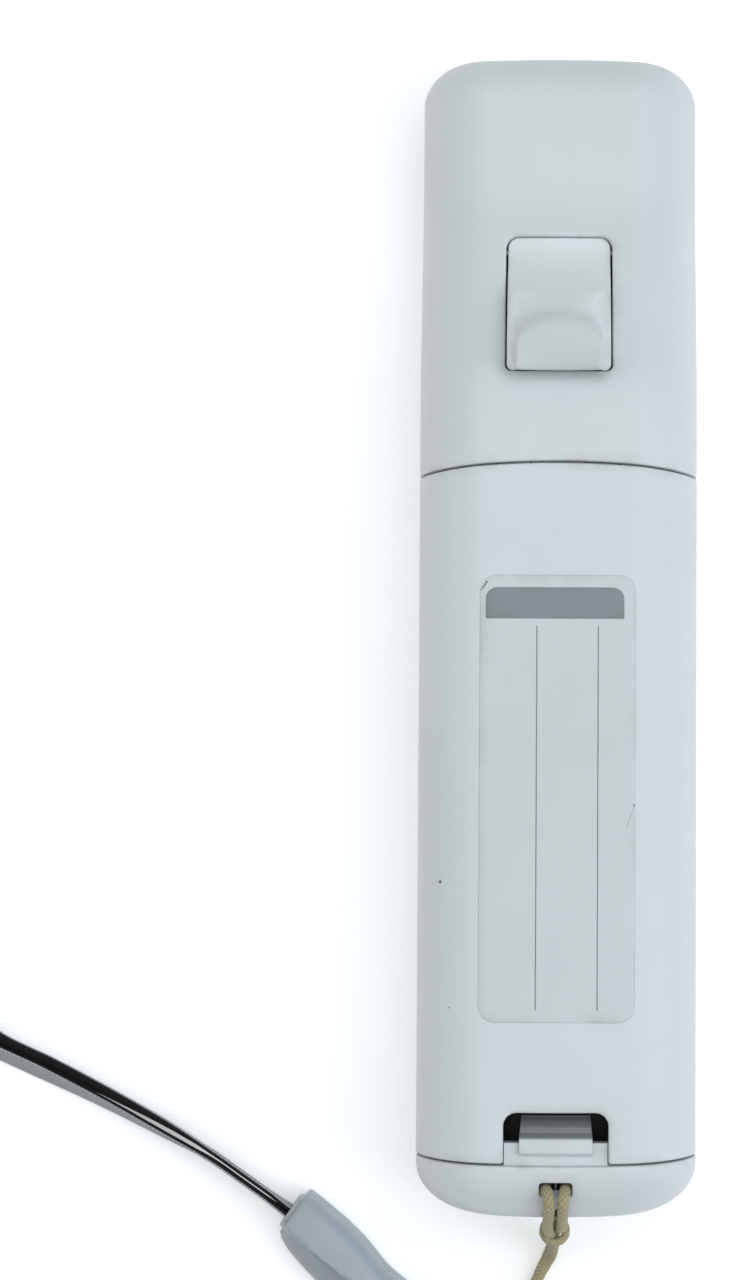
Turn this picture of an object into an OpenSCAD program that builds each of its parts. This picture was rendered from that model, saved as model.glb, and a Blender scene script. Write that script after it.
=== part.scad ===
// Motion controller wand lying on its button face, nose towards +Y, back towards +Z.
// The origin is on the surface it lies on, under the middle of the case.

/* [Case] */
// Length of the case from nose to tail
body_len = 148; // [142:1:160]
// Width of the case
body_w = 35; // [34.6:0.2:40]
// Depth of the case over the batteries
body_h = 25.6; // [25.4:0.1:29]
// Depth of the case at the nose
nose_h = 19.3; // [18.5:0.1:21]
// Wall of the case and of the cover
wall = 1.6; // [1.2:0.1:1.8]
// Corner radius of the nose, seen from above
nose_corner_r = 6; // [4:0.1:7]
// Corner radius of the tail, seen from above
tail_corner_r = 7.4; // [5:0.1:8]
// Radius of the long edges on the button face
face_edge_r = 3.8; // [3.4:0.1:5]
// Radius of the long edges on the back
back_edge_r = 8.6; // [6:0.1:10]
// Radius of the nose and tail on the back, seen from the side
end_edge_r = 6; // [4.5:0.1:7.5]
// Radius of the bow of the nose and tail, seen from above
end_bow_r = 190; // [120:5:300]
// Distance from the nose to where the back starts to fall
slope_start = 44; // [40:0.5:46]
// Distance from the nose to where the fall ends
slope_end = 20; // [16:0.5:22]
// Height of the parting line above the button face
part_h = 9.3; // [8.8:0.1:10]

/* [Buttons] */
// Height of the tallest buttons above the face
button_proud = 1.2; // [0.9:0.1:1.6]
// Travel of a button
button_travel = 0.8; // [0.4:0.05:1]
// Gap round a button in its hole
button_gap = 0.3; // [0.2:0.05:0.4]
// Gap round the cross pad in its hole
cross_gap = 0.45; // [0.4:0.05:0.6]
// Rim of a button inside its hole
button_rim = 0.9; // [0.7:0.1:1.1]
// Thickness of a button's rim
rim_t = 1.3; // [1:0.1:1.4]
// Diameter of the big thumb button
thumb_d = 11.2; // [9:0.2:12]
// Diameter of the two lower buttons
low_d = 6.8; // [5:0.2:7.4]
// Diameter of the three small middle buttons
mid_d = 4.2; // [3.4:0.2:5]
// Diameter of the power button
power_d = 4; // [3.4:0.2:5]
// Length of each bar of the cross pad
cross_len = 17; // [14:0.5:18]
// Width of each bar of the cross pad
cross_w = 5.6; // [4.5:0.1:6.5]
// Distance from the nose to the cross pad
cross_from_nose = 29; // [28:0.5:31]
// Distance from the nose to the big thumb button
thumb_from_nose = 58; // [56:0.5:59]
// Distance from the nose to the three middle buttons
mid_from_nose = 79; // [78:0.5:80]
// Spacing of the three middle buttons
mid_pitch = 9; // [8:0.25:9.5]
// Distance from the tail to the upper of the two lower buttons
one_from_tail = 34; // [33:0.5:35]
// Distance between the two lower buttons
low_pitch = 12; // [11.5:0.25:12.5]
// Distance from the nose to the power button
power_from_nose = 13; // [12:0.5:14]
// Distance from the side to the power button
power_from_side = 8; // [7.5:0.25:9.5]

/* [Trigger] */
// Width of the trigger's opening
trigger_w = 13.4; // [12:0.1:15]
// Distance from the nose to the front of the trigger's opening
trigger_from_nose = 25.3; // [25:0.1:26]
// Length of the trigger's opening
trigger_len = 17; // [16.8:0.1:17.4]
// Width of the trigger's lip
lip_w = 10.6; // [8:0.1:11.4]
// Height of the lip's top above the back
lip_rise = 3.8; // [3.4:0.1:4.4]
// Gap at each side of the trigger
trigger_gap = 0.25; // [0.2:0.05:0.4]
// Diameter of the trigger's axle
axle_d = 2; // [1.6:0.1:2.2]

/* [Battery bay] */
// Diameter of a battery cell
cell_d = 14.5; // [14.1:0.1:14.5]
// Length of a battery cell
cell_len = 50.5; // [49.5:0.1:50.5]
// Diameter of a cell's raised end
nub_d = 5.5; // [4.6:0.1:5.6]
// Height of a cell's raised end
nub_h = 1.2; // [1:0.1:1.5]
// Length of a contact spring
spring_len = 6.5; // [6:0.1:7]
// Wire of a contact spring
spring_wire = 0.7; // [0.5:0.05:0.8]
// Turns of a contact spring
spring_turns = 4; // [3:1:4]
// Thickness of the contact plates
plate_t = 0.4; // [0.3:0.05:0.6]
// Distance from the nose to the cover's front edge
cover_from_nose = 53.5; // [53:0.1:54.5]
// Distance from the tail to the cover's rear edge
cover_from_tail = 7.7; // [7.4:0.1:8.2]
// Bow radius of the cover's front edge
front_bow_r = 113; // [105:1:150]
// Bow radius of the cover's rear edge
rear_bow_r = 270; // [240:5:400]
// Height of the cover's side edges above the button face
cover_edge_h = 12.8; // [12.4:0.1:14]
// Gap round the cover
cover_gap = 0.3; // [0.25:0.05:0.35]
// Width of the latch notch
notch_w = 13.1; // [11:0.1:14]
// Length of the latch notch
notch_len = 6.55; // [6.4:0.05:6.8]
// Width of the latch tongue
tongue_w = 9; // [7:0.1:10]

/* [Tail] */
// Width of the strap hole
strap_hole_w = 4.1; // [3.9:0.1:4.6]
// Length of the strap hole
strap_hole_len = 2.1; // [1.9:0.05:2.3]
// Distance from the tail to the strap hole's near edge
strap_hole_from_tail = 3.35; // [3.2:0.05:3.6]
// Diameter of the bar under the strap hole
strap_pin_d = 1; // [0.8:0.05:1]
// Width of the expansion socket
socket_w = 13.6; // [12:0.1:14]
// Height of the expansion socket
socket_h = 4.6; // [4.4:0.1:4.8]
// Depth of the expansion socket
socket_depth = 11; // [9:0.5:11.5]

/* [Strap] */
// Diameter of the thin cord
cord_d = 1.4; // [1:0.05:1.4]
// Width of the flat ribbon
ribbon_w = 4.4; // [3.6:0.1:4.6]
// Thickness of the flat ribbon
ribbon_t = 0.8; // [0.6:0.05:0.9]
// Length of the strap lock
lock_len = 21; // [18:0.5:21]
// Width of the strap lock in the middle
lock_w = 10.4; // [9:0.1:12]
// Width of the strap lock at its ends
lock_end_w = 7; // [6.6:0.1:8]
// Height of the strap lock
lock_h = 8.4; // [8.2:0.1:9.5]

/* [Hidden] */
$fn = 64;

// Main levels and ends of the case
half_w = body_w / 2;
nose_y = body_len / 2;
tail_y = -body_len / 2;
face_z = button_proud;
floor_z = face_z + wall;
back_z = face_z + body_h;
nose_z = face_z + nose_h;
part_z = face_z + part_h;
slope_y0 = nose_y - slope_start;
slope_y1 = nose_y - slope_end;
reach = 4 * body_w;
// Running clearance of shafts and screws in their holes
fit = 0.05;
// Gap of seats and stops
seat = 0.05;
// Overlap that joins the solids of one piece
join = 0.3;

// Height of the back at a place along the case
function back_at(y) = y < slope_y0 ? back_z : y > slope_y1 ? nose_z
    : back_z - (back_z - nose_z) * (y - slope_y0) / (slope_y1 - slope_y0);

// Rectangle with its own corner radius at each end
module soft_rect(x0, x1, y0, y1, r0, r1) {
    translate([x0, y0 + r0]) square([x1 - x0, y1 - y0 - r0 - r1]);
    translate([x0 + r0, y0]) square([x1 - x0 - 2 * r0, r0]);
    translate([x0 + r1, y1 - r1]) square([x1 - x0 - 2 * r1, r1]);
    for (x = [x0 + r0, x1 - r0]) translate([x, y0 + r0]) circle(r0);
    for (x = [x0 + r1, x1 - r1]) translate([x, y1 - r1]) circle(r1);
}

// Outline of the case from above, drawn in by g
module plan_outline(g) {
    intersection() {
        soft_rect(-half_w + g, half_w - g, tail_y + g, nose_y - g, tail_corner_r - g, nose_corner_r - g);
        translate([0, nose_y - end_bow_r]) circle(end_bow_r - g);
        translate([0, tail_y + end_bow_r]) circle(end_bow_r - g);
    }
}

// Bar along the case with the case's cross-section up to a height, drawn in by g
module case_bar(top_z, g) {
    rotate([90, 0, 0]) linear_extrude(2 * body_len, center = true)
        soft_rect(-half_w + g, half_w - g, face_z + g, top_z - g, max(face_edge_r - g, join), back_edge_r - g);
}

// Bar along the falling part of the back, drawn in by g
module slope_bar(g) {
    turn = atan((back_z - nose_z) / (slope_y1 - slope_y0));
    translate([0, slope_y1, nose_z]) rotate([90 - turn, 0, 0]) linear_extrude(2 * body_len, center = true)
        soft_rect(-half_w + g, half_w - g, -body_len, -g, back_edge_r, back_edge_r - g);
}

// Side view of the case with its rounded ends, drawn in by g: a tail block and a lower nose block
module side_outline(g) {
    low_r = max(face_edge_r - g, join);
    high_r = end_edge_r - g;
    soft_rect(tail_y + g, slope_y1, face_z + g, back_z - g, low_r, high_r);
    soft_rect(tail_y + body_w, nose_y - g, face_z + g, nose_z - g, low_r, high_r);
}

// Solid of the whole case, drawn in by g
module case_form(g) {
    intersection() {
        linear_extrude(2 * back_z) plan_outline(g);
        rotate([90, 0, 90]) linear_extrude(2 * body_w, center = true) side_outline(g);
        union() {
            case_bar(nose_z, g);
            intersection() {
                case_bar(back_z, g);
                slope_bar(g);
            }
        }
    }
}

module box_between(low, high) {
    translate(low) cube(high - low);
}

// Everything above a height, or between two places along the case
module above(z) {
    box_between([-reach, -reach, z], [reach, reach, z + reach]);
}

module along(y0, y1) {
    box_between([-reach, y0, -reach], [reach, y1, reach]);
}

// Places of the buttons, trigger, cover and strap along the case
cross_y = nose_y - cross_from_nose;
thumb_y = nose_y - thumb_from_nose;
mid_y = nose_y - mid_from_nose;
one_y = tail_y + one_from_tail;
two_y = one_y - low_pitch;
power_y = nose_y - power_from_nose;
power_x = half_w - power_from_side;
trigger_y1 = nose_y - trigger_from_nose;
trigger_y0 = trigger_y1 - trigger_len;
cover_y1 = nose_y - cover_from_nose;
cover_y0 = tail_y + cover_from_tail;
hole_y0 = tail_y + strap_hole_from_tail;

// Heights of the button caps above the surface the wand lies on
thumb_top = 0;
cross_top = 0.4;
mid_top = 0.6;
power_top = 0.9;
rim_z = floor_z + seat;
keypad_t = 0.6;
keypad_z = rim_z + rim_t + button_travel + seat;
board_z = keypad_z + keypad_t;
board_t = 1;
board_top = board_z + board_t;

// Battery bay: two cells side by side over a tray in the rear case
plate_h = 9;
cell_gap = 0.3;
cell_x = (cell_d + cell_gap) / 2;
cell_r = cell_d / 2;
deck_in = wall + cover_gap;
deck_t = 1.3;
cell_top_z = back_z - wall - cover_gap - cell_gap;
cell_z = cell_top_z - cell_r;
tray_t = 1.4;
tray_floor_z = cell_z - cell_r - cell_gap;
tray_z = tray_floor_z - tray_t;
bay_half = cell_x + cell_r + cell_gap;
end_gap = 0.2;
bay_len = cell_len + spring_len + 2 * plate_t + 3 * end_gap;
bulkhead_t = 1.2;
bay_y0 = cover_y0 + 13.3;
bay_y1 = bay_y0 + bay_len;
ridge_z = cell_z - plate_h / 2 - cell_gap;

// Cover: swings about a line along its front edge, just above the back
cover_pivot_y = cover_y1;
cover_pivot_z = back_z + 0.1;
cover_swing_r = cover_y1 - cover_y0;
cover_edge_z = face_z + cover_edge_h;
hook_x = 5.5;
hook_w = 4;
hook_t = 1;
hook_reach = 1.7;
hook_root = 2;
hook_room = 5;
hook_drop = 0.4;
hook_z = back_z - wall - hook_drop - hook_t;
notch_y1 = cover_y0 + notch_len;
ledge_len = 2.85;
ledge_drop = 0.9;
finger_room = 0.8;
notch_corner_r = 1.2;

// Case screws: two at each end of the bay, in tubes of the rear case over bosses of the front case
screw_d = 2;
screw_head_d = 4;
screw_head_h = 1.2;
screw_x = 11.4;
screw_ys = [bay_y1 + bulkhead_t + 6.9, bay_y0 - bulkhead_t - 5.3];
tube_r = 3;
tube_bore_r = screw_head_d / 2 + 0.3;
boss_r = 2.6;
boss_z = part_z - 0.1;
screw_seat_z = part_z + 2;
screw_len = screw_seat_z - floor_z - wall - join;

// Board screws on four posts
post_r = 1.7;
board_screw_d = 1.4;
board_screw_len = 2.6;
board_screw_head_d = 2.6;
board_screw_head_h = 0.8;
post_x = 10.8;
post_ys = [cross_y - 5, one_y + 7];

module screw_places() {
    for (x = [-screw_x, screw_x], y = screw_ys) translate([x, y, 0]) children();
}

module post_places() {
    for (x = [-post_x, post_x], y = post_ys) translate([x, y, 0]) children();
}

// Space of the battery cover, drawn in by g
module cover_zone(g) {
    intersection() {
        translate([0, cover_y1 - front_bow_r, cover_edge_z + g]) cylinder(r = front_bow_r - g, h = reach);
        translate([0, cover_y0 + rear_bow_r, cover_edge_z + g]) cylinder(r = rear_bow_r - g, h = reach);
        translate([0, cover_pivot_y, cover_pivot_z]) rotate([0, 90, 0])
            cylinder(r = cover_swing_r - g, h = reach, center = true);
    }
}

// Cross outline of the cross pad with a gap all round
module cross_shape(g) {
    square([cross_len + 2 * g, cross_w + 2 * g], center = true);
    square([cross_w + 2 * g, cross_len + 2 * g], center = true);
}

// Pointing window and expansion socket openings cut both halves of the case
window_w = 16;
window_h = 7;
window_z = floor_z + 3.4;
socket_wall = 1;
socket_z = board_top + socket_wall;
opening_gap = 0.2;

module end_openings() {
    box_between([-window_w / 2, nose_y - 2 * wall, window_z],
        [window_w / 2, nose_y + wall, window_z + window_h]);
    side = socket_wall + opening_gap;
    box_between([-socket_w / 2 - side, tail_y - wall, socket_z - side],
        [socket_w / 2 + side, tail_y + 2 * wall, socket_z + socket_h + side]);
}

// Sound holes over the speaker and the four indicator lights
speaker_r = 8.5;
speaker_t = 2.4;
speaker_y = (mid_y + one_y) / 2;
sound_hole_d = 1.2;
sound_pitch = 2.6;
light_w = 1.8;
light_pitch = 4.4;
light_y = two_y - 10.5;

module light_places() {
    for (i = [-1.5 : 1 : 1.5]) translate([i * light_pitch, light_y, 0]) children();
}

module front_holes() {
    translate([0, cross_y, 0]) linear_extrude(part_z) cross_shape(cross_gap);
    translate([0, thumb_y, 0]) cylinder(d = thumb_d + 2 * button_gap, h = part_z);
    for (i = [-1 : 1])
        translate([i * mid_pitch, mid_y, 0]) cylinder(d = mid_d + 2 * button_gap, h = part_z);
    for (y = [one_y, two_y]) translate([0, y, 0]) cylinder(d = low_d + 2 * button_gap, h = part_z);
    translate([power_x, power_y, 0]) cylinder(d = power_d + 2 * button_gap, h = part_z);
    for (i = [-2 : 2], j = [-1 : 1])
        translate([i * sound_pitch, speaker_y + j * sound_pitch, 0]) cylinder(d = sound_hole_d, h = part_z);
    light_places() box_between([-light_w / 2 - opening_gap, -light_w / 2 - opening_gap, 0],
        [light_w / 2 + opening_gap, light_w / 2 + opening_gap, part_z]);
}

module front_case() {
    color("#e9edee") {
        difference() {
            case_form(0);
            case_form(wall);
            above(part_z);
            front_holes();
            end_openings();
        }
        screw_places() difference() {
            translate([0, 0, floor_z - join]) cylinder(r = boss_r, h = boss_z - floor_z + join);
            translate([0, 0, floor_z + wall]) cylinder(d = screw_d + 2 * fit, h = boss_z);
        }
        post_places() difference() {
            translate([0, 0, floor_z - join]) cylinder(r = post_r, h = board_z - floor_z + join);
            translate([0, 0, floor_z + join]) cylinder(d = board_screw_d + 2 * fit, h = board_z);
        }
    }
}

// Motor of the rumble, carried by two ribs under the back, ahead of the cover
motor_d = 8;
motor_len = 11;
motor_x = -12;
motor_y = cover_y1 + 5.2;
motor_z = part_z + 5.2;
motor_shaft_d = 1;
motor_shaft_len = 6;
weight_r = 4.2;
weight_t = 4.6;
weight_gap = 0.6;
rib_t = 1.6;
rib_w = 7;
rib_in = 1;

// Trigger: hinged near the front of its opening, with ears of the rear case at both sides
pivot_y = trigger_y1 - 0.7;
pivot_z = back_at(trigger_y1) - 4.6;
hub_r = 1.9;
ear_x = trigger_w / 2 + 0.3;
ear_t = 1.6;
ear_half = 2.4;
trigger_corner_r = 1.4;

// Frame under the rim of the cover
frame_y0 = cover_y0 - 1.6;
frame_y1 = cover_y1 + 2;

// Block with a pocket and a bar for the strap, under the tail's strap hole
pocket_wall = 2;
pocket_depth = 5.2;
strap_corner_r = 0.4;
pin_z = back_z - 2.8;

module bay_cut() {
    box_between([-bay_half, bay_y0, cell_z], [bay_half, bay_y1, back_z + wall]);
    box_between([-cell_gap - wall, bay_y0, ridge_z], [cell_gap + wall, bay_y1, back_z]);
    for (x = [-cell_x, cell_x]) translate([x, bay_y1, cell_z]) rotate([90, 0, 0])
        cylinder(r = cell_r + cell_gap, h = bay_len);
}

module rear_skin() {
    difference() {
        case_form(0);
        box_between([-reach, -reach, -reach], [reach, reach, part_z]);
        case_form(deck_in + deck_t);
        intersection() {
            case_form(wall);
            union() {
                along(-reach, frame_y0);
                along(frame_y1, reach);
            }
        }
        difference() {
            cover_zone(0);
            case_form(deck_in);
        }
    }
}

module rear_case() {
    tray_x = half_w - deck_in - join;
    tray_y0 = bay_y0 - bulkhead_t;
    block_x = strap_hole_w / 2 + pocket_wall;
    color("#e6ebec") difference() {
        union() {
            rear_skin();
            intersection() {
                case_form(deck_in);
                union() {
                    box_between([-tray_x, tray_y0, tray_z], [tray_x, bay_y1 + bulkhead_t, cell_z]);
                    for (y = [tray_y0, bay_y1])
                        box_between([-tray_x, y, tray_z], [tray_x, y + bulkhead_t, back_z]);
                    screw_places() translate([0, 0, part_z]) cylinder(r = tube_r, h = back_z - part_z);
                }
            }
            intersection() {
                case_form(join);
                union() {
                    box_between([-notch_w / 2 + opening_gap, cover_y0 - wall, back_z - deck_in - join],
                        [notch_w / 2 - opening_gap, cover_y0 + ledge_len, back_z - ledge_drop]);
                    box_between([-block_x, hole_y0 - pocket_wall, back_z - pocket_depth - wall],
                        [block_x, hole_y0 + strap_hole_len + pocket_wall / 2, back_z]);
                    for (x = [-ear_x - ear_t, ear_x])
                        box_between([x, pivot_y - ear_half, pivot_z - ear_half],
                            [x + ear_t, pivot_y + ear_half, back_z]);
                    for (x = [motor_x + rib_in, motor_x + motor_len - rib_t - rib_in])
                        box_between([x, motor_y - rib_w / 2, motor_z - motor_d / 4],
                            [x + rib_t, motor_y + rib_w / 2, back_z]);
                }
            }
        }
        bay_cut();
        end_openings();
        translate([0, 0, pivot_z + hub_r]) linear_extrude(reach)
            soft_rect(-trigger_w / 2, trigger_w / 2, trigger_y0, trigger_y1,
                trigger_corner_r / 2, trigger_corner_r);
        translate([0, pivot_y, pivot_z]) rotate([0, 90, 0])
            cylinder(d = axle_d + 2 * fit, h = 2 * (ear_x + ear_t + fit), center = true);
        translate([motor_x, motor_y, motor_z]) rotate([0, 90, 0])
            cylinder(d = motor_d + 2 * fit, h = motor_len);
        screw_places() {
            translate([0, 0, screw_seat_z]) cylinder(r = tube_bore_r, h = back_z);
            cylinder(d = screw_d + 4 * fit, h = back_z);
        }
        for (x = [-hook_x, hook_x])
            box_between([x - hook_w / 2 - opening_gap, cover_y1 - hook_room, hook_z - hook_t],
                [x + hook_w / 2 + opening_gap, cover_y1 + hook_reach + hook_t, hook_z + hook_t + cover_gap]);
        box_between([-notch_w / 2, cover_y0 + ledge_len, back_z - pocket_depth],
            [notch_w / 2, notch_y1 + finger_room, back_z]);
        translate([0, 0, back_z - pocket_depth]) linear_extrude(2 * pocket_depth)
            soft_rect(-strap_hole_w / 2, strap_hole_w / 2, hole_y0, hole_y0 + strap_hole_len,
                strap_corner_r, strap_corner_r);
        translate([0, hole_y0 - pocket_wall, pin_z]) rotate([-90, 0, 0])
            cylinder(d = strap_pin_d + 2 * fit, h = strap_hole_len + 1.5 * pocket_wall);
        sync_hole();
    }
}

// Pairing button under the cover, between the bay and the latch
sync_d = 3;
sync_rim = 0.7;
sync_y = bay_y0 - bulkhead_t - sync_d / 2 - sync_rim - cover_gap;
sync_travel = 0.8;
deck_z = back_z - deck_in;
sync_proud = 0.2;
sync_switch_h = 2.4;

module sync_hole() {
    translate([0, sync_y, part_z]) cylinder(d = sync_d + 2 * button_gap, h = back_z - part_z);
}

// Latch tongue in the notch of the cover, seen from the side: root, dip and finger lip,
// measured from the cover's rear edge and from the back
tongue_profile = [[notch_len - cover_gap, -0.1], [notch_len - 1.1, -0.25], [4.35, -1.7], [3.75, -1.6],
    [3.45, -0.2], [3.2, -0.05], [1.7, -0.05], [1.4, -0.3], [1.4, -0.7], [3.25, -0.75], [3.45, -2.5],
    [4.55, -3], [notch_len - cover_gap, -1.4]];

module cover_latch() {
    color("#e4e9ea") translate([0, cover_y0, back_z]) rotate([90, 0, 90])
        linear_extrude(tongue_w, center = true) polygon(tongue_profile);
}

module battery_cover() {
    color("#e8eced") {
        difference() {
            intersection() {
                case_form(0);
                cover_zone(cover_gap);
            }
            case_form(wall);
            translate([0, 0, cover_edge_z]) linear_extrude(body_h)
                soft_rect(-notch_w / 2, notch_w / 2, cover_y0 - 2 * wall, notch_y1, join, notch_corner_r);
        }
        for (x = [-hook_x, hook_x]) {
            box_between([x - hook_w / 2, cover_y1 - hook_root, hook_z],
                [x + hook_w / 2, cover_y1 + hook_reach, hook_z + hook_t]);
            box_between([x - hook_w / 2, cover_y1 - hook_root, hook_z + hook_t - join],
                [x + hook_w / 2, cover_y1 - 2 * cover_gap, back_z - wall / 2]);
        }
    }
}

// Side view of the trigger: a hollow scoop rising to a lip that stands over the back
scoop_steps = 8;
scoop_y0 = trigger_y1 - trigger_gap;
scoop_y1 = trigger_y0 + 6.6;
scoop_z0 = back_at(trigger_y1) - 0.5;
lip_z = back_z + lip_rise;
scoop_z1 = lip_z - 2;
scoop_power = 2.4;
lip_split_z = back_z - 0.6;
plunger_w = 3;
plunger_y = trigger_y0 + 4;
plunger_z = pivot_z - 3;
plunger_top_z = lip_z - 8;
switch_gap = 0.25;
trigger_turn = 7;

function scoop_point(t) = [scoop_y0 + (scoop_y1 - scoop_y0) * t,
    scoop_z0 + (scoop_z1 - scoop_z0) * pow(t, scoop_power)];

// Lip and inner back of the trigger, measured from the rear of its opening and from the lip's top
lip_profile = [[5.6, -0.4], [4.4, 0], [1.2, 0], [-0.2, -0.3], [-0.4, -0.8], [0.8, -1.5], [1.7, -3.1],
    [1.5, -8.1], [2.2, -10.1]];
knee = [trigger_y0 + 8.2, pivot_z + 1.5];

module trigger_side() {
    polygon(concat([[scoop_y0, pivot_z]], [for (i = [0 : scoop_steps]) scoop_point(i / scoop_steps)],
        [for (p = lip_profile) [trigger_y0 + p[0], lip_z + p[1]]],
        [knee, [pivot_y - hub_r, pivot_z - hub_r / 2]]));
}

module trigger() {
    width = trigger_w - 2 * trigger_gap;
    color("#e7ebec") difference() {
        union() {
            intersection() {
                rotate([90, 0, 90]) linear_extrude(reach, center = true) trigger_side();
                linear_extrude(lip_split_z) soft_rect(-width / 2, width / 2, trigger_y0 - trigger_len,
                    trigger_y1 - trigger_gap, join, trigger_corner_r - trigger_gap + join);
            }
            intersection() {
                rotate([90, 0, 90]) linear_extrude(lip_w, center = true) trigger_side();
                above(lip_split_z - join);
            }
            translate([0, pivot_y, pivot_z]) rotate([0, 90, 0])
                cylinder(r = hub_r, h = width, center = true);
            box_between([-plunger_w / 2, plunger_y, plunger_z],
                [plunger_w / 2, plunger_y + plunger_w, plunger_top_z]);
        }
        translate([0, pivot_y, pivot_z]) rotate([0, 90, 0])
            cylinder(d = axle_d + 2 * fit, h = reach, center = true);
    }
}

module trigger_axle() {
    color("silver") translate([0, pivot_y, pivot_z]) rotate([0, 90, 0])
        cylinder(d = axle_d, h = 2 * (ear_x + ear_t), center = true);
}

// Switch under the trigger's plunger, clear of it at full press
module trigger_switch() {
    arm = pivot_y - plunger_y;
    top_z = plunger_z - arm * sin(trigger_turn) - switch_gap;
    base_w = 6;
    base_h = 3.2;
    stem_d = 3;
    color("dimgray") translate([0, plunger_y + plunger_w / 2, board_top]) {
        translate([-base_w / 2, -base_w / 2, 0]) cube([base_w, base_w, base_h]);
        cylinder(d = stem_d, h = top_z - board_top);
    }
}

// Round button: a cap through the face and a rim behind it
module round_button(d, cap_z) {
    translate([0, 0, cap_z]) cylinder(d = d, h = rim_z - cap_z + join);
    translate([0, 0, rim_z]) cylinder(d = d + 2 * button_rim, h = rim_t);
}

module a_button() {
    color("#eef1f2") translate([0, thumb_y, 0]) round_button(thumb_d, thumb_top);
}

module minus_button() {
    color("#eef1f2") translate([mid_pitch, mid_y, 0]) round_button(mid_d, mid_top);
}

module home_button() {
    color("#eef1f2") translate([0, mid_y, 0]) round_button(mid_d, mid_top);
}

module plus_button() {
    color("#eef1f2") translate([-mid_pitch, mid_y, 0]) round_button(mid_d, mid_top);
}

module one_button() {
    color("#eef1f2") translate([0, one_y, 0]) round_button(low_d, thumb_top);
}

module two_button() {
    color("#eef1f2") translate([0, two_y, 0]) round_button(low_d, thumb_top);
}

module power_button() {
    color("#dfe3e4") translate([power_x, power_y, 0]) round_button(power_d, power_top);
}

// Cross pad on a pivot that lets it rock both ways
cross_rim_t = 0.6;
cross_rim_z = rim_z + 0.7;
cross_core_d = 9;
pivot_r = 1.6;
pivot_gap = 0.15;

module dpad_cross() {
    color("#eef1f2") translate([0, cross_y, 0]) {
        translate([0, 0, cross_top]) linear_extrude(rim_z - cross_top) cross_shape(0);
        translate([0, 0, rim_z - join]) cylinder(d = cross_core_d, h = cross_rim_z - rim_z + 2 * join);
        translate([0, 0, cross_rim_z]) cylinder(d = cross_len + 2 * button_rim, h = cross_rim_t);
    }
}

module dpad_pivot() {
    pivot_low = cross_rim_z + cross_rim_t + pivot_gap;
    color("#5a6066") translate([0, cross_y, pivot_low])
        cylinder(r = pivot_r, h = keypad_z - pivot_gap - pivot_low);
}

module sync_button() {
    cap_z = deck_z + sync_proud;
    stem_d = 2;
    stem_z = board_top + sync_switch_h + sync_travel + seat;
    collar_z = deck_z - deck_t - seat;
    color("#b9342f") translate([0, sync_y, 0]) {
        translate([0, 0, collar_z - rim_t]) cylinder(d = sync_d, h = cap_z - collar_z + rim_t);
        translate([0, 0, collar_z - rim_t]) cylinder(d = sync_d + 2 * sync_rim, h = rim_t);
        translate([0, 0, stem_z]) cylinder(d = stem_d, h = collar_z - stem_z);
    }
}

module sync_switch() {
    base_w = 4;
    color("dimgray") translate([-base_w / 2, sync_y - base_w / 2, board_top])
        cube([base_w, base_w, sync_switch_h]);
}

// Rubber contact sheets between the buttons and the board
module keypad(x, y0, y1) {
    box_between([-x, y0, keypad_z], [x, y1, board_z]);
}

module upper_keypad() {
    edge = 1.5;
    pad_x = post_x - post_r - edge / 3;
    power_pad = power_d / 2 + edge;
    color("#8d9499") union() {
        keypad(pad_x, thumb_y - thumb_d / 2 - edge, cross_y + cross_len / 2 + edge);
        box_between([power_x - power_pad, cross_y + cross_len / 2, keypad_z],
            [power_x + power_pad, power_y + power_pad, board_z]);
    }
}

module middle_keypad() {
    edge = 1;
    half = mid_d / 2 + edge;
    color("#8d9499") keypad(mid_pitch + half, mid_y - half, mid_y + half);
}

module lower_keypad() {
    edge = 1;
    half = low_d / 2 + edge;
    color("#8d9499") keypad(half, two_y - half, one_y + half);
}

// Circuit board on the posts, with room for the screw bosses
board_edge_gap = 2.2;
board_y1 = nose_y - wall - 6.4;
board_y0 = tail_y + wall + 1.8;
board_x = half_w - wall - board_edge_gap;
boss_gap = 0.5;

module main_board() {
    color("#2f6b3c") difference() {
        box_between([-board_x, board_y0, board_z], [board_x, board_y1, board_top]);
        screw_places() cylinder(r = boss_r + boss_gap, h = back_z);
        post_places() cylinder(d = board_screw_d + 4 * fit, h = back_z);
    }
}

module chip(x, y, w, l, h) {
    translate([x - w / 2, y - l / 2, board_top]) cube([w, l, h]);
}

module board_chips() {
    color("#26282b") {
        chip(5, cross_y + 9, 7, 7, 1.2);
        chip(-6, thumb_y + 7, 5, 4, 1);
        chip(6, mid_y - 6, 4, 4, 1);
        chip(-5, one_y + 2, 6, 5, 1);
    }
}

module radio_can() {
    color("silver") chip(0, speaker_y, 13, 15, 1.4);
}

module indicator_leds() {
    led_h = 0.7;
    led_w = 1.6;
    color("#9fc6ef") light_places() translate([-led_w / 2, -led_w / 2, board_z - led_h])
        cube([led_w, led_w, led_h]);
}

module light_guide() {
    bar_z = floor_z + seat;
    bar_t = 1.4;
    bar_x = 1.5 * light_pitch + light_w;
    bar_half = 1.6;
    color("#cfd8de") {
        box_between([-bar_x, light_y - bar_half, bar_z], [bar_x, light_y + bar_half, bar_z + bar_t]);
        light_places() box_between([-light_w / 2, -light_w / 2, face_z + opening_gap],
            [light_w / 2, light_w / 2, bar_z + join]);
    }
}

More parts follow.
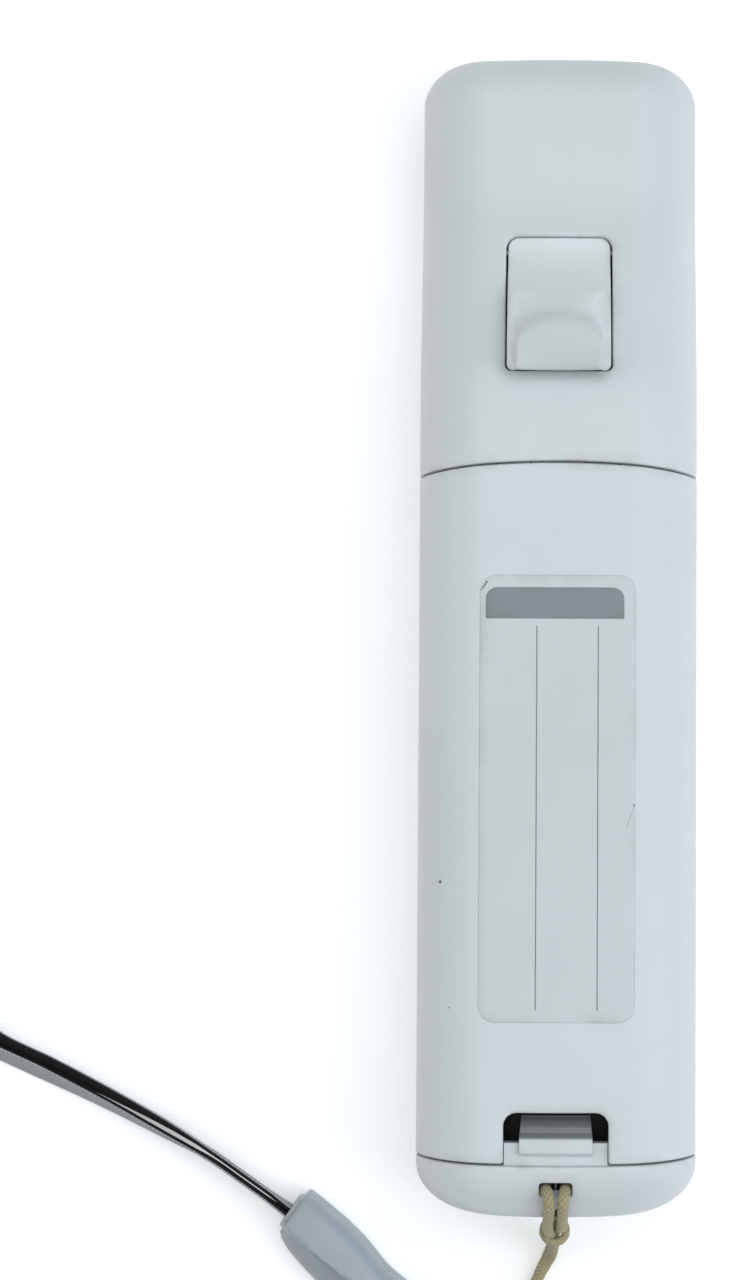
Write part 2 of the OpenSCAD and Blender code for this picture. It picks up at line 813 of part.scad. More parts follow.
module ir_window() {
    flange = 1.2;
    flange_y = nose_y - wall - cover_gap - flange;
    color("#1d1a1c") {
        box_between([-window_w / 2 + opening_gap, flange_y, window_z + opening_gap],
            [window_w / 2 - opening_gap, nose_y - 1, window_z + window_h - opening_gap]);
        box_between([-window_w / 2 - flange, flange_y, window_z - flange],
            [window_w / 2 + flange, flange_y + flange, window_z + window_h + flange]);
    }
}

module ir_camera() {
    cam_w = 9;
    cam_len = 6.4;
    cam_h = 7;
    lens_d = 4.4;
    lens_h = 1.2;
    color("#2b2d30") {
        box_between([-cam_w / 2, board_y1 - cam_len, board_top], [cam_w / 2, board_y1, board_top + cam_h]);
        translate([0, board_y1 - join, window_z + window_h / 2]) rotate([-90, 0, 0])
            cylinder(d = lens_d, h = lens_h);
    }
}

module speaker() {
    magnet_r = 5;
    cone_t = 1.2;
    color("#3b3e42") translate([0, speaker_y, floor_z]) {
        cylinder(r = speaker_r, h = cone_t);
        cylinder(r = magnet_r, h = speaker_t);
    }
}

module rumble_motor() {
    color("silver") translate([motor_x, motor_y, motor_z]) rotate([0, 90, 0]) {
        cylinder(d = motor_d, h = motor_len);
        cylinder(d = motor_shaft_d, h = motor_len + motor_shaft_len);
    }
}

// Half-round weight, bored to run on the motor's shaft
module rumble_weight() {
    hub = 1.2;
    weight_x = motor_x + motor_len + weight_gap;
    color("#8a8f94") translate([weight_x, motor_y, motor_z]) rotate([0, 90, 0]) difference() {
        intersection() {
            cylinder(r = weight_r, h = weight_t);
            translate([-hub, -reach, -reach]) cube([reach, 2 * reach, 2 * reach]);
        }
        translate([0, 0, -join]) cylinder(d = motor_shaft_d + 2 * fit, h = weight_t + 2 * join);
    }
}

module expansion_connector() {
    outer_x = socket_w / 2 + socket_wall;
    mouth_y = tail_y + 0.8;
    color("#e3e7e8") difference() {
        box_between([-outer_x, mouth_y, board_top],
            [outer_x, mouth_y + socket_depth + 2 * socket_wall, socket_z + socket_h + socket_wall]);
        box_between([-socket_w / 2, mouth_y - socket_wall, socket_z],
            [socket_w / 2, mouth_y + socket_depth, socket_z + socket_h]);
    }
}

// Two cells head to tail, each with its raised end against a plate and its flat end against a spring
module cell() {
    cylinder(d = cell_d, h = cell_len - nub_h);
    cylinder(d = nub_d, h = cell_len);
}

module cell_left() {
    start_y = bay_y1 - plate_t - end_gap - cell_len;
    color("#33373c") translate([-cell_x, start_y, cell_z]) rotate([-90, 0, 0]) cell();
}

module cell_right() {
    start_y = bay_y0 + plate_t + end_gap + cell_len;
    color("#33373c") translate([cell_x, start_y, cell_z]) rotate([90, 0, 0]) cell();
}

plate_x = cell_x + 4;

module contact_plate(x0, x1, y) {
    box_between([x0, y, cell_z - plate_h / 2], [x1, y + plate_t, cell_z + plate_h / 2]);
}

module bridge_contact() {
    color("silver") contact_plate(-plate_x, plate_x, bay_y1 - plate_t);
}

module terminal_contacts() {
    inner_x = 1.5;
    color("silver") {
        contact_plate(inner_x, plate_x, bay_y0);
        contact_plate(-plate_x, -inner_x, bay_y0);
    }
}

// Sweeps an outline along a route, carrying its sideways direction from ring to ring
function unit(v) = v / norm(v);
function heading(p, i) = unit(p[min(i + 1, len(p) - 1)] - p[max(i - 1, 0)]);
function carried(p, i, n) = i == len(p) ? []
    : let (t = heading(p, i), m = unit(n - (n * t) * t)) concat([m], carried(p, i + 1, m));

module swept(route, outline, side) {
    count = len(outline);
    last = len(route) - 1;
    sides = carried(route, 0, side);
    ring_points = [for (i = [0 : last], c = outline)
        route[i] + c[0] * sides[i] + c[1] * cross(heading(route, i), sides[i])];
    walls = [for (i = [0 : last - 1], j = [0 : count - 1], half = [0, 1])
        let (a = i * count + j, b = i * count + (j + 1) % count)
        half == 0 ? [a, b, b + count] : [a, b + count, a + count]];
    start_cap = [for (j = [1 : count - 2]) [0, j + 1, j]];
    end_cap = [for (j = [1 : count - 2]) [last * count, last * count + j, last * count + j + 1]];
    polyhedron(ring_points, [for (f = concat(walls, start_cap, end_cap)) [f[0], f[2], f[1]]]);
}

function round_outline(d, n) = [for (j = [0 : n - 1]) d / 2 * [cos(360 * j / n), sin(360 * j / n)]];

// Cone-shaped contact spring, widest at its plate
spring_base_r = 4.4;
spring_tip_r = 2.8;
spring_rings = 8;
spring_lead = spring_len - spring_wire - end_gap;
spring_route = [for (i = [0 : spring_turns * spring_rings])
    let (t = i / (spring_turns * spring_rings), r = spring_base_r + (spring_tip_r - spring_base_r) * t)
    [r * cos(360 * spring_turns * t), r * sin(360 * spring_turns * t),
    spring_wire / 2 + end_gap / 2 + spring_lead * t]];
spring_least_gap = min([for (i = [0 : (spring_turns - 1) * spring_rings])
    norm(spring_route[i + spring_rings] - spring_route[i])]) - spring_wire;
echo(spring_least_gap = spring_least_gap);

module contact_spring() {
    swept(spring_route, round_outline(spring_wire, 6), [1, 0, 0]);
}

module spring_left() {
    color("silver") translate([-cell_x, bay_y0 + plate_t, cell_z]) rotate([-90, 0, 0]) contact_spring();
}

module spring_right() {
    color("silver") translate([cell_x, bay_y1 - plate_t, cell_z]) rotate([90, 0, 0]) contact_spring();
}

module shell_screws() {
    color("silver") screw_places() translate([0, 0, screw_seat_z]) {
        cylinder(d = screw_head_d, h = screw_head_h);
        translate([0, 0, -screw_len]) cylinder(d = screw_d, h = screw_len);
    }
}

module board_screws() {
    color("silver") post_places() translate([0, 0, board_top]) {
        cylinder(d = board_screw_head_d, h = board_screw_head_h);
        translate([0, 0, -board_screw_len]) cylinder(d = board_screw_d, h = board_screw_len);
    }
}

module strap_pin() {
    color("silver") translate([0, hole_y0 - pocket_wall + fit, pin_z]) rotate([-90, 0, 0])
        cylinder(d = strap_pin_d, h = strap_hole_len + 1.5 * pocket_wall - 2 * fit);
}

// Strap lock, its button and the ferrule lie on one line, measured from the lock's outer end
lock_at = [-34.1, -75.3];
lock_turn = -35;
ferrule_x = lock_len + 0.6;
ferrule_len = 7.5;
ferrule_w = 4.4;
ferrule_h = 6.3;
function on_lock_line(x) = lock_at + x * [cos(lock_turn), sin(lock_turn)];
cord_start = on_lock_line(ferrule_x + ferrule_len);

module on_lock() {
    translate([lock_at[0], lock_at[1], 0]) rotate(lock_turn) children();
}

// Thin cord: up one strand from the ferrule, round the bar and back down the other strand
strand_up = [[-8.7, -93.1, 0.72], [-7, -94.4, 0.72], [-5, -95.4, 0.72], [-3.1, -94.7, 0.72],
    [-2.3, -92.7, 0.72], [-2.5, -90.4, 0.72], [-2.9, -88.1, 0.72], [-2.9, -85.8, 0.72], [-2.1, -83.5, 0.72],
    [-1.2, -81.6, 0.72], [-0.5, -79.8, 1.6], [-0.1, -78.3, 4.2], [0, -77.2, 8], [0, -76.4, 12.5],
    [0.2, -75.8, 17], [0.8, -75.4, 20.6], [1.2, -74.7, 23.3], [1.25, -73.2, 25.8], [1.25, -72, 27.1],
    [1.25, -70.9, 27.5], [1.25, -70, 27], [1.25, -69.65, 25.9], [1.25, -69.6, 24.9]];
pin_loop = [[1.25, -69.6, 24], [0.88, -69.6, 23.12], [0, -69.6, 22.75], [-0.88, -69.6, 23.12],
    [-1.25, -69.6, 24]];
strand_down = [[-1.25, -69.6, 24.9], [-1.25, -69.65, 25.9], [-1.25, -70, 27], [-1.25, -70.9, 27.5],
    [-1.25, -72, 27.1], [-1.25, -73.2, 25.8], [-1.2, -74.7, 23.4], [-0.9, -75.7, 21], [-0.3, -76.9, 17.6],
    [0, -77.8, 13.2], [0, -78.6, 9], [-0.2, -79.7, 5.2], [-0.5, -81, 2.9], [-1.2, -82.2, 2.2],
    [-2.1, -83.8, 2.2], [-2.9, -85.8, 2.2], [-2.9, -88.1, 2.2], [-2.5, -90.4, 2.2], [-2.3, -92.7, 2.2],
    [-3.1, -94.7, 2.2], [-5, -95.4, 2.2], [-7, -94.4, 2.2], [-8.7, -93.1, 2.2]];
cord_low_z = 0.72;
cord_high_z = 2.2;

module strap_cord() {
    route = concat([[cord_start[0], cord_start[1], cord_low_z]], strand_up, pin_loop, strand_down,
        [[cord_start[0], cord_start[1], cord_high_z]]);
    color("#a39a78") swept(route, round_outline(cord_d, 8), [0, 0, 1]);
}

module strap_ferrule() {
    low_r = 1;
    high_r = 1.5;
    color("#8f9aa5") on_lock() translate([ferrule_x, 0, 0]) rotate([90, 0, 90]) linear_extrude(ferrule_len)
        soft_rect(-ferrule_w / 2, ferrule_w / 2, 0, ferrule_h, low_r, high_r);
}

// Strap lock: a swelling block with a through slot for two layers of ribbon and a socket for its button
lock_fall = 0.6;
lock_bow_r = (pow(lock_len / 2, 2) + pow((lock_w - lock_end_w) / 2, 2)) / (lock_w - lock_end_w);
lock_top_r = (pow(lock_len / 2, 2) + lock_fall * lock_fall) / (2 * lock_fall);
ribbon_low_z = 1.6;
ribbon_z = ribbon_low_z + ribbon_w / 2;
layer_y = 0.65;
slot_half = layer_y + ribbon_t / 2 + 0.5;
slot_gap = 0.2;
button_wall = 0.45;
button_out = 1;
button_len = 8.4;
button_press = 2;
button_half = slot_half + 2 * button_wall;

module strap_lock() {
    socket_len = button_len - button_out + button_press + 1;
    socket_gap = 0.25;
    socket_low = ribbon_low_z - slot_gap - button_wall - socket_gap;
    socket_high = ribbon_low_z + ribbon_w + slot_gap + button_wall + socket_gap;
    socket_half = button_half + socket_gap;
    low_r = 1.2;
    high_r = 2;
    color("#9aa5af") on_lock() difference() {
        intersection() {
            linear_extrude(lock_h) intersection() {
                translate([0, -lock_w / 2]) square([lock_len, lock_w]);
                for (side = [-1, 1])
                    translate([lock_len / 2, side * (lock_bow_r - lock_w / 2)]) circle(lock_bow_r);
            }
            rotate([90, 0, 90]) linear_extrude(lock_len)
                soft_rect(-lock_w / 2, lock_w / 2, 0, lock_h, low_r, high_r);
            rotate([90, 0, 0]) linear_extrude(2 * lock_w, center = true)
                translate([lock_len / 2, lock_h - lock_top_r]) circle(lock_top_r);
        }
        box_between([-wall, -socket_half, socket_low], [socket_len, socket_half, socket_high]);
        box_between([0, -slot_half, ribbon_low_z - slot_gap],
            [2 * lock_len, slot_half, ribbon_low_z + ribbon_w + slot_gap]);
    }
}

module lock_button() {
    low = ribbon_low_z - slot_gap;
    high = ribbon_low_z + ribbon_w + slot_gap;
    color("#7f8a95") on_lock() difference() {
        box_between([-button_out, -button_half, low - button_wall],
            [button_len - button_out, button_half, high + button_wall]);
        box_between([-lock_len, -slot_half, low], [lock_len, slot_half, high]);
    }
}

// Ribbon on edge in the lock's own frame: out along one layer, round the wrist loop and back
ribbon_out = [[16, 0.65, 3.8], [10, 0.65, 3.8], [4, 0.65, 3.8], [-2, 0.65, 3.8], [-8, 0.65, 3.8],
    [-13, 0.65, 3.8], [-20, -0.1, 3.2], [-28, -0.9, 2.6], [-36, -1.9, 2.3], [-44, -2.9, 2.25]];
ribbon_loop = [[-50, -2.6, 2.25], [-56, 0.6, 2.25], [-61, 5.8, 2.25], [-66, 11, 2.25], [-72.5, 14.6, 2.25],
    [-80, 15.2, 2.25], [-87, 12.4, 2.25], [-92, 7, 2.25], [-94.4, 0, 2.25], [-94.4, -7.5, 2.25],
    [-92, -14.5, 2.25], [-87, -20, 2.25], [-80, -22.8, 2.25], [-72.5, -22.2, 2.25], [-66, -18.8, 2.25],
    [-61, -13.8, 2.25], [-56, -9.4, 2.25], [-50, -7, 2.25]];
ribbon_back = [[-44, -6.2, 2.25], [-36, -4.8, 2.3], [-28, -3.2, 2.6], [-20, -1.9, 3.2], [-13, -0.65, 3.8],
    [-8, -0.65, 3.8], [-2, -0.65, 3.8], [4, -0.65, 3.8], [10, -0.65, 3.8], [16, -0.65, 3.8]];

module strap_ribbon() {
    route = concat([[ferrule_x, layer_y, ribbon_z]], ribbon_out, ribbon_loop, ribbon_back,
        [[ferrule_x, -layer_y, ribbon_z]]);
    edge = [[-ribbon_t, -ribbon_w], [ribbon_t, -ribbon_w], [ribbon_t, ribbon_w], [-ribbon_t, ribbon_w]] / 2;
    color("#70777c") on_lock() swept(route, edge, [0, 1, 0]);
}

front_case();
rear_case();
battery_cover();
cover_latch();
trigger();
trigger_axle();
trigger_switch();
dpad_cross();
dpad_pivot();
a_button();
minus_button();
home_button();
plus_button();
one_button();
two_button();
power_button();
sync_button();
sync_switch();
upper_keypad();
middle_keypad();
lower_keypad();
main_board();
board_chips();
radio_can();
indicator_leds();
light_guide();
ir_window();
ir_camera();
speaker();
rumble_motor();
rumble_weight();
expansion_connector();
cell_left();
cell_right();
bridge_contact();
terminal_contacts();
spring_left();
spring_right();
shell_screws();
board_screws();
strap_pin();
strap_cord();
strap_ferrule();
strap_lock();
lock_button();
strap_ribbon();
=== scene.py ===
"""Motion controller wand lying on its button face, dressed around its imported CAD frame."""

import math

import bmesh
import bpy
import numpy as np
from mathutils import Matrix, Vector
from mathutils.geometry import delaunay_2d_cdt


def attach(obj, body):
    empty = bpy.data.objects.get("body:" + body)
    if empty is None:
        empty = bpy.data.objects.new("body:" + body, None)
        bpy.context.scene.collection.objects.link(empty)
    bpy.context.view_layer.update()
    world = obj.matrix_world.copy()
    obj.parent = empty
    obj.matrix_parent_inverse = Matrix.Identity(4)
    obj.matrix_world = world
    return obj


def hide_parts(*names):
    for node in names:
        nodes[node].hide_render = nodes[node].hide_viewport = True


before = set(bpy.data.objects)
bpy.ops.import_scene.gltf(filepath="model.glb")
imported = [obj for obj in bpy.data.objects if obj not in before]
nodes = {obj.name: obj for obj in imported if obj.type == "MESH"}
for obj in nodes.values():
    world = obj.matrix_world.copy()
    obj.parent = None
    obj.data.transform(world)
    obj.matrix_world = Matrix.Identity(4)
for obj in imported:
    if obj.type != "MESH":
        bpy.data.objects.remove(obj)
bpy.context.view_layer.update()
scene = bpy.context.scene

# White moulded plastic of the case, cover, trigger and latch: a fine sparked grain, a slightly uneven
# cool tint, grime that settles along every edge and gap, and a few dark specks from handling.
MM = 0.001
GRAIN_DEEP = 0.0004
GRIME_COLOUR = (0.2, 0.19, 0.16, 1)
# Near-black that parts mix in where they mark it: mostly painted shade in recesses and on shaded faces.
DIRT_AND_SHADE_COLOUR = (0.014, 0.016, 0.018, 1)
FLECK_COLOUR = (0.05, 0.045, 0.04, 1)
FLECK_SHOWS = 0.85


def shader_group(name, inputs, outputs):
    group = bpy.data.node_groups.new(name, "ShaderNodeTree")
    for label, kind, value in inputs:
        socket = group.interface.new_socket(label, in_out="INPUT", socket_type="NodeSocket" + kind)
        socket.default_value = value
    for label, kind in outputs:
        group.interface.new_socket(label, in_out="OUTPUT", socket_type="NodeSocket" + kind)
    return group, group.nodes.new("NodeGroupInput").outputs, group.nodes.new("NodeGroupOutput").inputs


def filled(tree, node, values):
    """Links or sets a node's inputs, by name or, as _0, by number."""
    for name, value in values.items():
        socket = node.inputs[int(name[1:])] if name[1:].isdigit() else node.inputs[name.replace("_", " ")]
        if isinstance(value, bpy.types.NodeSocket):
            tree.links.new(value, socket)
        else:
            socket.default_value = value
    return node


def put(tree, kind, settings=None, **values):
    node = tree.nodes.new("ShaderNode" + kind)
    for name, value in (settings or {}).items():
        setattr(node, name, value)
    return filled(tree, node, values)


def calc(tree, operation, first, second=0.0, third=0.0, clamp=False):
    node = put(tree, "Math", {"operation": operation, "use_clamp": clamp}, _0=first, _1=second, _2=third)
    return node.outputs[0]


def between(tree, value, low, high, to_low=0.0, to_high=1.0):
    node = put(tree, "MapRange", {"clamp": True}, Value=value, From_Min=low, From_Max=high, To_Min=to_low,
               To_Max=to_high)
    return node.outputs[0]


def tint(tree, amount, first, second, blend="MIX"):
    node = put(tree, "Mix", {"data_type": "RGBA", "blend_type": blend}, _0=amount, _6=first, _7=second)
    return node.outputs[2]


def noise(tree, where, scale, detail=3.0, roughness=0.5):
    node = put(tree, "TexNoise", None, Vector=where, Scale=scale, Detail=detail, Roughness=roughness)
    return node.outputs["Fac"]


def layer(tree, name):
    """Values that the mesh itself carries, point by point."""
    return put(tree, "Attribute", {"attribute_name": name}).outputs["Fac"]


def blank_finish(name):
    """A new material, its tree, its shader and the place on the object that patterns follow."""
    material = bpy.data.materials.new(name)
    material.use_nodes = True
    tree = material.node_tree
    return material, tree, tree.nodes["Principled BSDF"], put(tree, "TexCoord").outputs["Object"]


def lay_finish(tree, shader, colour, roughness, height=None, relief=0.0, deep=0.0001, **even):
    """Links what changes over the surface, and sets what is even on the shader's own sockets."""
    tree.links.new(colour, shader.inputs["Base Color"])
    tree.links.new(roughness, shader.inputs["Roughness"])
    if height is not None:
        bump = put(tree, "Bump", None, Strength=relief, Distance=deep, Height=height)
        tree.links.new(bump.outputs[0], shader.inputs["Normal"])
    for name, value in even.items():
        shader.inputs[name.replace("_", " ")].default_value = value


def moulded_group():
    group, given, result = shader_group(
        "moulded plastic",
        [("Color", "Color", (0.6, 0.65, 0.66, 1)), ("Grime Color", "Color", GRIME_COLOUR),
         ("Grime", "Float", 0.5), ("Specks", "Float", 0.5), ("Grain Scale", "Float", 3000.0),
         ("Roughness", "Float", 0.45)],
        [("Color", "Color"), ("Roughness", "Float"), ("Height", "Float")])
    where = put(group, "TexCoord").outputs["Object"]
    rim = layer(group, "rim")
    broad = noise(group, where, 28.0, 4.0, 0.6)
    patchy = noise(group, where, 160.0, 6.0, 0.7)
    fine = noise(group, where, given["Grain Scale"], 2.0, 0.6)
    shade = calc(group, "MULTIPLY_ADD", broad, 0.1, 0.95)
    base = tint(group, 1.0, given["Color"], shade, "MULTIPLY")
    dirty = calc(group, "MULTIPLY", rim, between(group, patchy, 0.42, 0.66))
    dirty = calc(group, "MULTIPLY", dirty, given["Grime"], clamp=True)
    cells = put(group, "TexVoronoi", {"feature": "F1"}, Vector=where, Scale=75.0)
    spot = between(group, cells.outputs["Distance"], 0.015, 0.03, 1.0, 0.0)
    cell_red = put(group, "SeparateColor", None, Color=cells.outputs["Color"]).outputs[0]
    spot = calc(group, "MULTIPLY", spot, between(group, cell_red, 0.955, 0.96))
    spot = calc(group, "MULTIPLY", spot, given["Specks"], clamp=True)
    mask = calc(group, "MAXIMUM", dirty, spot)
    colour = tint(group, mask, base, given["Grime Color"])
    # Mixes in the near-black where the part marks it, mostly as painted shade.
    group.links.new(tint(group, layer(group, "dirt_and_shade"), colour, DIRT_AND_SHADE_COLOUR), result["Color"])
    rough = calc(group, "ADD", given["Roughness"], between(group, patchy, 0.3, 0.7, -0.06, 0.06))
    group.links.new(calc(group, "MULTIPLY_ADD", mask, 0.3, rough, True), result["Roughness"])
    group.links.new(fine, result["Height"])
    return group


MOULDED = moulded_group()


def moulded(name, colour, roughness=0.45, grime=0.3, specks=0.5, grain=0.03, grain_scale=3000.0, coat=0.0,
            flecks=()):
    material, tree, shader, where = blank_finish(name)
    group = tree.nodes.new("ShaderNodeGroup")
    group.node_tree = MOULDED
    for label, value in (("Color", (*colour, 1)), ("Grime", grime), ("Specks", specks),
                         ("Grain Scale", grain_scale), ("Roughness", roughness)):
        group.inputs[label].default_value = value
    paint = group.outputs["Color"]
    if flecks:
        flat = put(tree, "VectorMath", {"operation": "MULTIPLY"}, _0=where, _1=(1, 1, 0))
    for x, y, size in flecks:
        gap = put(tree, "VectorMath", {"operation": "DISTANCE"}, _0=flat.outputs[0], _1=(x * MM, y * MM, 0))
        dot = between(tree, gap.outputs["Value"], 0.7 * size * MM, 1.3 * size * MM, FLECK_SHOWS, 0.0)
        paint = tint(tree, dot, paint, FLECK_COLOUR)
    lay_finish(tree, shader, paint, group.outputs["Roughness"], group.outputs["Height"], grain, GRAIN_DEEP,
               Coat_Weight=coat)
    return material


case_white = moulded("case white", (0.60, 0.643, 0.658))


def finished(name, shape, material, body, sharp=32, replaced=(), layers=None):
    points, faces, *rims = shape
    mesh = bpy.data.meshes.new(name)
    mesh.from_pydata([tuple(p) for p in np.asarray(points, float) * MM], [], faces)
    work = bmesh.new()
    work.from_mesh(mesh)
    bmesh.ops.recalc_face_normals(work, faces=work.faces)
    work.to_mesh(mesh)
    work.free()
    for label, values in {"rim": rims[0] if rims else np.zeros(len(points)), **(layers or {})}.items():
        mesh.attributes.new(label, "FLOAT", "POINT").data.foreach_set("value", np.asarray(values, np.float32))
    mesh.polygons.foreach_set("use_smooth", [True] * len(mesh.polygons))
    mesh.set_sharp_from_angle(angle=math.radians(sharp))
    piece = bpy.data.objects.new(name, mesh)
    scene.collection.objects.link(piece)
    mesh.materials.append(material)
    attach(piece, body)
    if replaced:
        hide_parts(*replaced)
    return piece


# Rear half of the case: one white moulding that carries the trigger, the battery bay under the cover,
# the latch's ledge and the strap hole. It closes on the front half at mid height, with four screws.
HALF_WIDTH = 17.5
END_Y = 74.0
PART_Z = 10.5
BACK_RISE = 16.3
NOSE_RISE = 10.0
FACE_DROP = 9.3
SLOPE_START = 30.0
SLOPE_END = 54.0
SLOPE_EASE = 7.0
TAIL_DEPTH = 7.4
NOSE_DEPTH = 6.0
BACK_END_FALL = 6.0
FACE_END_FALL = 3.8
BACK_RADIUS = 8.6
FACE_RADIUS = 3.8
END_SQUARING = 0.42
CAP_RUN = 5.0
MOUTH_HALF = 7.97
MOUTH_RADIUS = 0.9
END_BOW, END_BOW_FROM, END_BOW_LONG = 380.0, 66.5, 7.5
BACK_RADIUS_SHARE = 0.86
BACK_MOUTH = (2.87, 2.67)
FACE_MOUTH = (4.07, 4.27)
REAR, FRONT = 1, -1
WALL = 1.5
COVERED = 0.03
QUARTER = math.pi / 2
BLUNT_FROM = 66.0
BLUNT_TAIL = 0.85
BLUNT_NOSE = 0.7
HOLE_HALF, HOLE_REAR, HOLE_FRONT = 6.67, 31.73, 49.45
HOLE_REAR_ROUND, HOLE_FRONT_ROUND = 0.75, 1.5
GROWN, GROWN_HALF, GROWN_FROM, GROWN_TO, GROWN_LONG, GROWN_ABOVE = 0.75, 6.75, 46.9, 48.8, 1.8, 18
STRAP_HOLE = (-2.02, 2.02, -70.62, -68.58)
POCKET_HALF, POCKET_Y, POCKET_LONG, POCKET_TOP = 7.5, -60.7, 2.7, 25.4
DRAW_SWEEPS, LEAST_COSINE = 3, 0.35
ROW_SHARE, CLEAR_SHARE = 0.87, 0.55
GRIME_REACH, GRIME_MOST = 0.9, 0.8
EDGE_TURNS = np.radians([30, 60, 90])


def eased(y):
    bend = np.clip(y + SLOPE_EASE / 2, 0, SLOPE_EASE)
    return bend ** 2 / (2 * SLOPE_EASE) + np.maximum(y - SLOPE_EASE / 2, 0)


def section(side, along):
    depth = np.where(along < 0, TAIL_DEPTH, NOSE_DEPTH)
    past = np.abs(along) - (END_Y - depth)
    turn = np.clip(past / depth, 0, QUARTER)
    cap = np.clip((past / depth - QUARTER) * depth / CAP_RUN, 0, 1)
    y = np.sign(along) * (np.minimum(np.abs(along), END_Y - depth) + depth * np.sin(turn))
    fall = 1 - np.cos(turn)
    half = HALF_WIDTH - depth * fall
    if side == REAR:
        slope = (BACK_RISE - NOSE_RISE) / (SLOPE_END - SLOPE_START)
        rise = BACK_RISE - slope * (eased(y - SLOPE_START) - eased(y - SLOPE_END)) - BACK_END_FALL * fall
        radius = np.minimum(BACK_RADIUS, BACK_RADIUS_SHARE * rise)
        mouth = np.where(along < 0, *BACK_MOUTH)
    else:
        rise = FACE_DROP - FACE_END_FALL * fall
        radius = np.full_like(rise, FACE_RADIUS)
        mouth = np.where(along < 0, *FACE_MOUTH)
    radius = radius * (1 - END_SQUARING * fall)
    half = half + (MOUTH_HALF - half) * cap
    rise = rise + (mouth - rise) * cap
    radius = radius + (MOUTH_RADIUS - radius) * cap
    return y, half, rise, radius, turn


def spans(side):
    radius = BACK_RADIUS if side == REAR else FACE_RADIUS
    rise = BACK_RISE if side == REAR else FACE_DROP
    return HALF_WIDTH - radius, radius * QUARTER, rise - radius


def blunted(y):
    """Both ends stop a little short of the frame, as in the photograph."""
    share = np.clip((np.abs(y) - BLUNT_FROM) / (END_Y - BLUNT_FROM), 0, 1)
    return y - share * np.where(y < 0, -BLUNT_TAIL, BLUNT_NOSE)


def skin(side, across, along):
    flat, arc, wall = spans(side)
    y, half, rise, radius, turn = section(side, along)
    reach = np.abs(across)
    angle = np.clip((reach - flat) / arc, 0, 1) * QUARTER
    down = np.clip((reach - flat - arc) / wall, 0, 1)
    x = np.minimum(reach / flat, 1) * (half - radius) + radius * np.sin(angle)
    height = (rise - radius * (1 - np.cos(angle))) - down * (rise - radius)
    y = y - np.sign(y) * x ** 2 / END_BOW * np.clip((np.abs(y) - END_BOW_FROM) / END_BOW_LONG, 0, 1)
    return np.stack([np.sign(across) * x, blunted(y), PART_Z + side * height], -1)


def skin_normal(side, across, along, step=0.02):
    du = skin(side, across + step, along) - skin(side, across - step, along)
    dv = skin(side, across, along + step) - skin(side, across, along - step)
    normal = side * np.cross(du, dv)
    return normal / np.maximum(np.linalg.norm(normal, axis=-1, keepdims=True), 1e-12)


def skin_of(side, raised=0.0):
    def surface(points, depth):
        across, along = points.T
        return skin(side, across, along) - (depth - raised) * skin_normal(side, across, along)

    return surface


def along_at(y):
    depth = TAIL_DEPTH if y < 0 else NOSE_DEPTH
    past = abs(y) - (END_Y - depth)
    return y if past <= 0 else math.copysign(END_Y - depth + depth * math.asin(past / depth), y)


def across_at(side, x, along):
    y, half, rise, radius, turn = section(side, np.array([along]))
    return x * spans(side)[0] / float((half - radius)[0])


def loop(corners, step=0.5, arc_step=20):
    points = []
    count = len(corners)
    for i, (x, y, radius) in enumerate(corners):
        here = np.array([x, y])
        before = np.array(corners[i - 1][:2]) - here
        after = np.array(corners[(i + 1) % count][:2]) - here
        before = before / np.linalg.norm(before)
        after = after / np.linalg.norm(after)
        opening = math.acos(np.clip(before @ after, -1, 1))
        cut = radius / math.tan(opening / 2)
        start, end = here + before * cut, here + after * cut
        middle = here + (before + after) / np.linalg.norm(before + after) * radius / math.sin(opening / 2)
        parts = max(2, int(math.degrees(math.pi - opening) / arc_step))
        for k in range(parts + 1):
            mix = start + (end - start) * k / parts - middle
            points.append(middle + mix / np.linalg.norm(mix) * radius)
    closed = points + points[:1]
    dense = []
    for first, second in zip(closed, closed[1:]):
        parts = max(1, int(np.linalg.norm(second - first) / step))
        dense += [first + (second - first) * k / parts for k in range(parts)]
    return np.array(dense)


def box_loop(x0, x1, y0, y1, radius, step=0.5):
    return loop([(x0, y0, radius), (x1, y0, radius), (x1, y1, radius), (x0, y1, radius)], step)


def ring_loop(x, y, radius, parts=40):
    angles = np.arange(parts) * 2 * math.pi / parts
    return np.stack([x + radius * np.cos(angles), y + radius * np.sin(angles)], -1)


def outward(points):
    tangent = np.roll(points, -1, 0) - np.roll(points, 1, 0)
    tangent = tangent / np.linalg.norm(tangent, axis=1, keepdims=True)
    return np.stack([tangent[:, 1], -tangent[:, 0]], -1)


def holds(polygon, points):
    inside = np.zeros(len(points), bool)
    for (x0, y0), (x1, y1) in zip(polygon, np.roll(polygon, -1, 0)):
        crosses = (y0 > points[:, 1]) != (y1 > points[:, 1])
        if y0 != y1:
            inside ^= crosses & (points[:, 0] < (x1 - x0) * (points[:, 1] - y0) / (y1 - y0) + x0)
    return inside


def nearest(points, targets):
    found = np.full(len(points), 1e9)
    for chunk in np.array_split(targets, max(1, len(targets) // 200)):
        gap = np.linalg.norm(points[:, None] - chunk[None], axis=2).min(1)
        found = np.minimum(found, gap)
    return found


def band(first, second):
    """Four-cornered faces between two rings of equal count."""
    return [(first[k - 1], first[k], second[k], second[k - 1]) for k in range(len(first))]


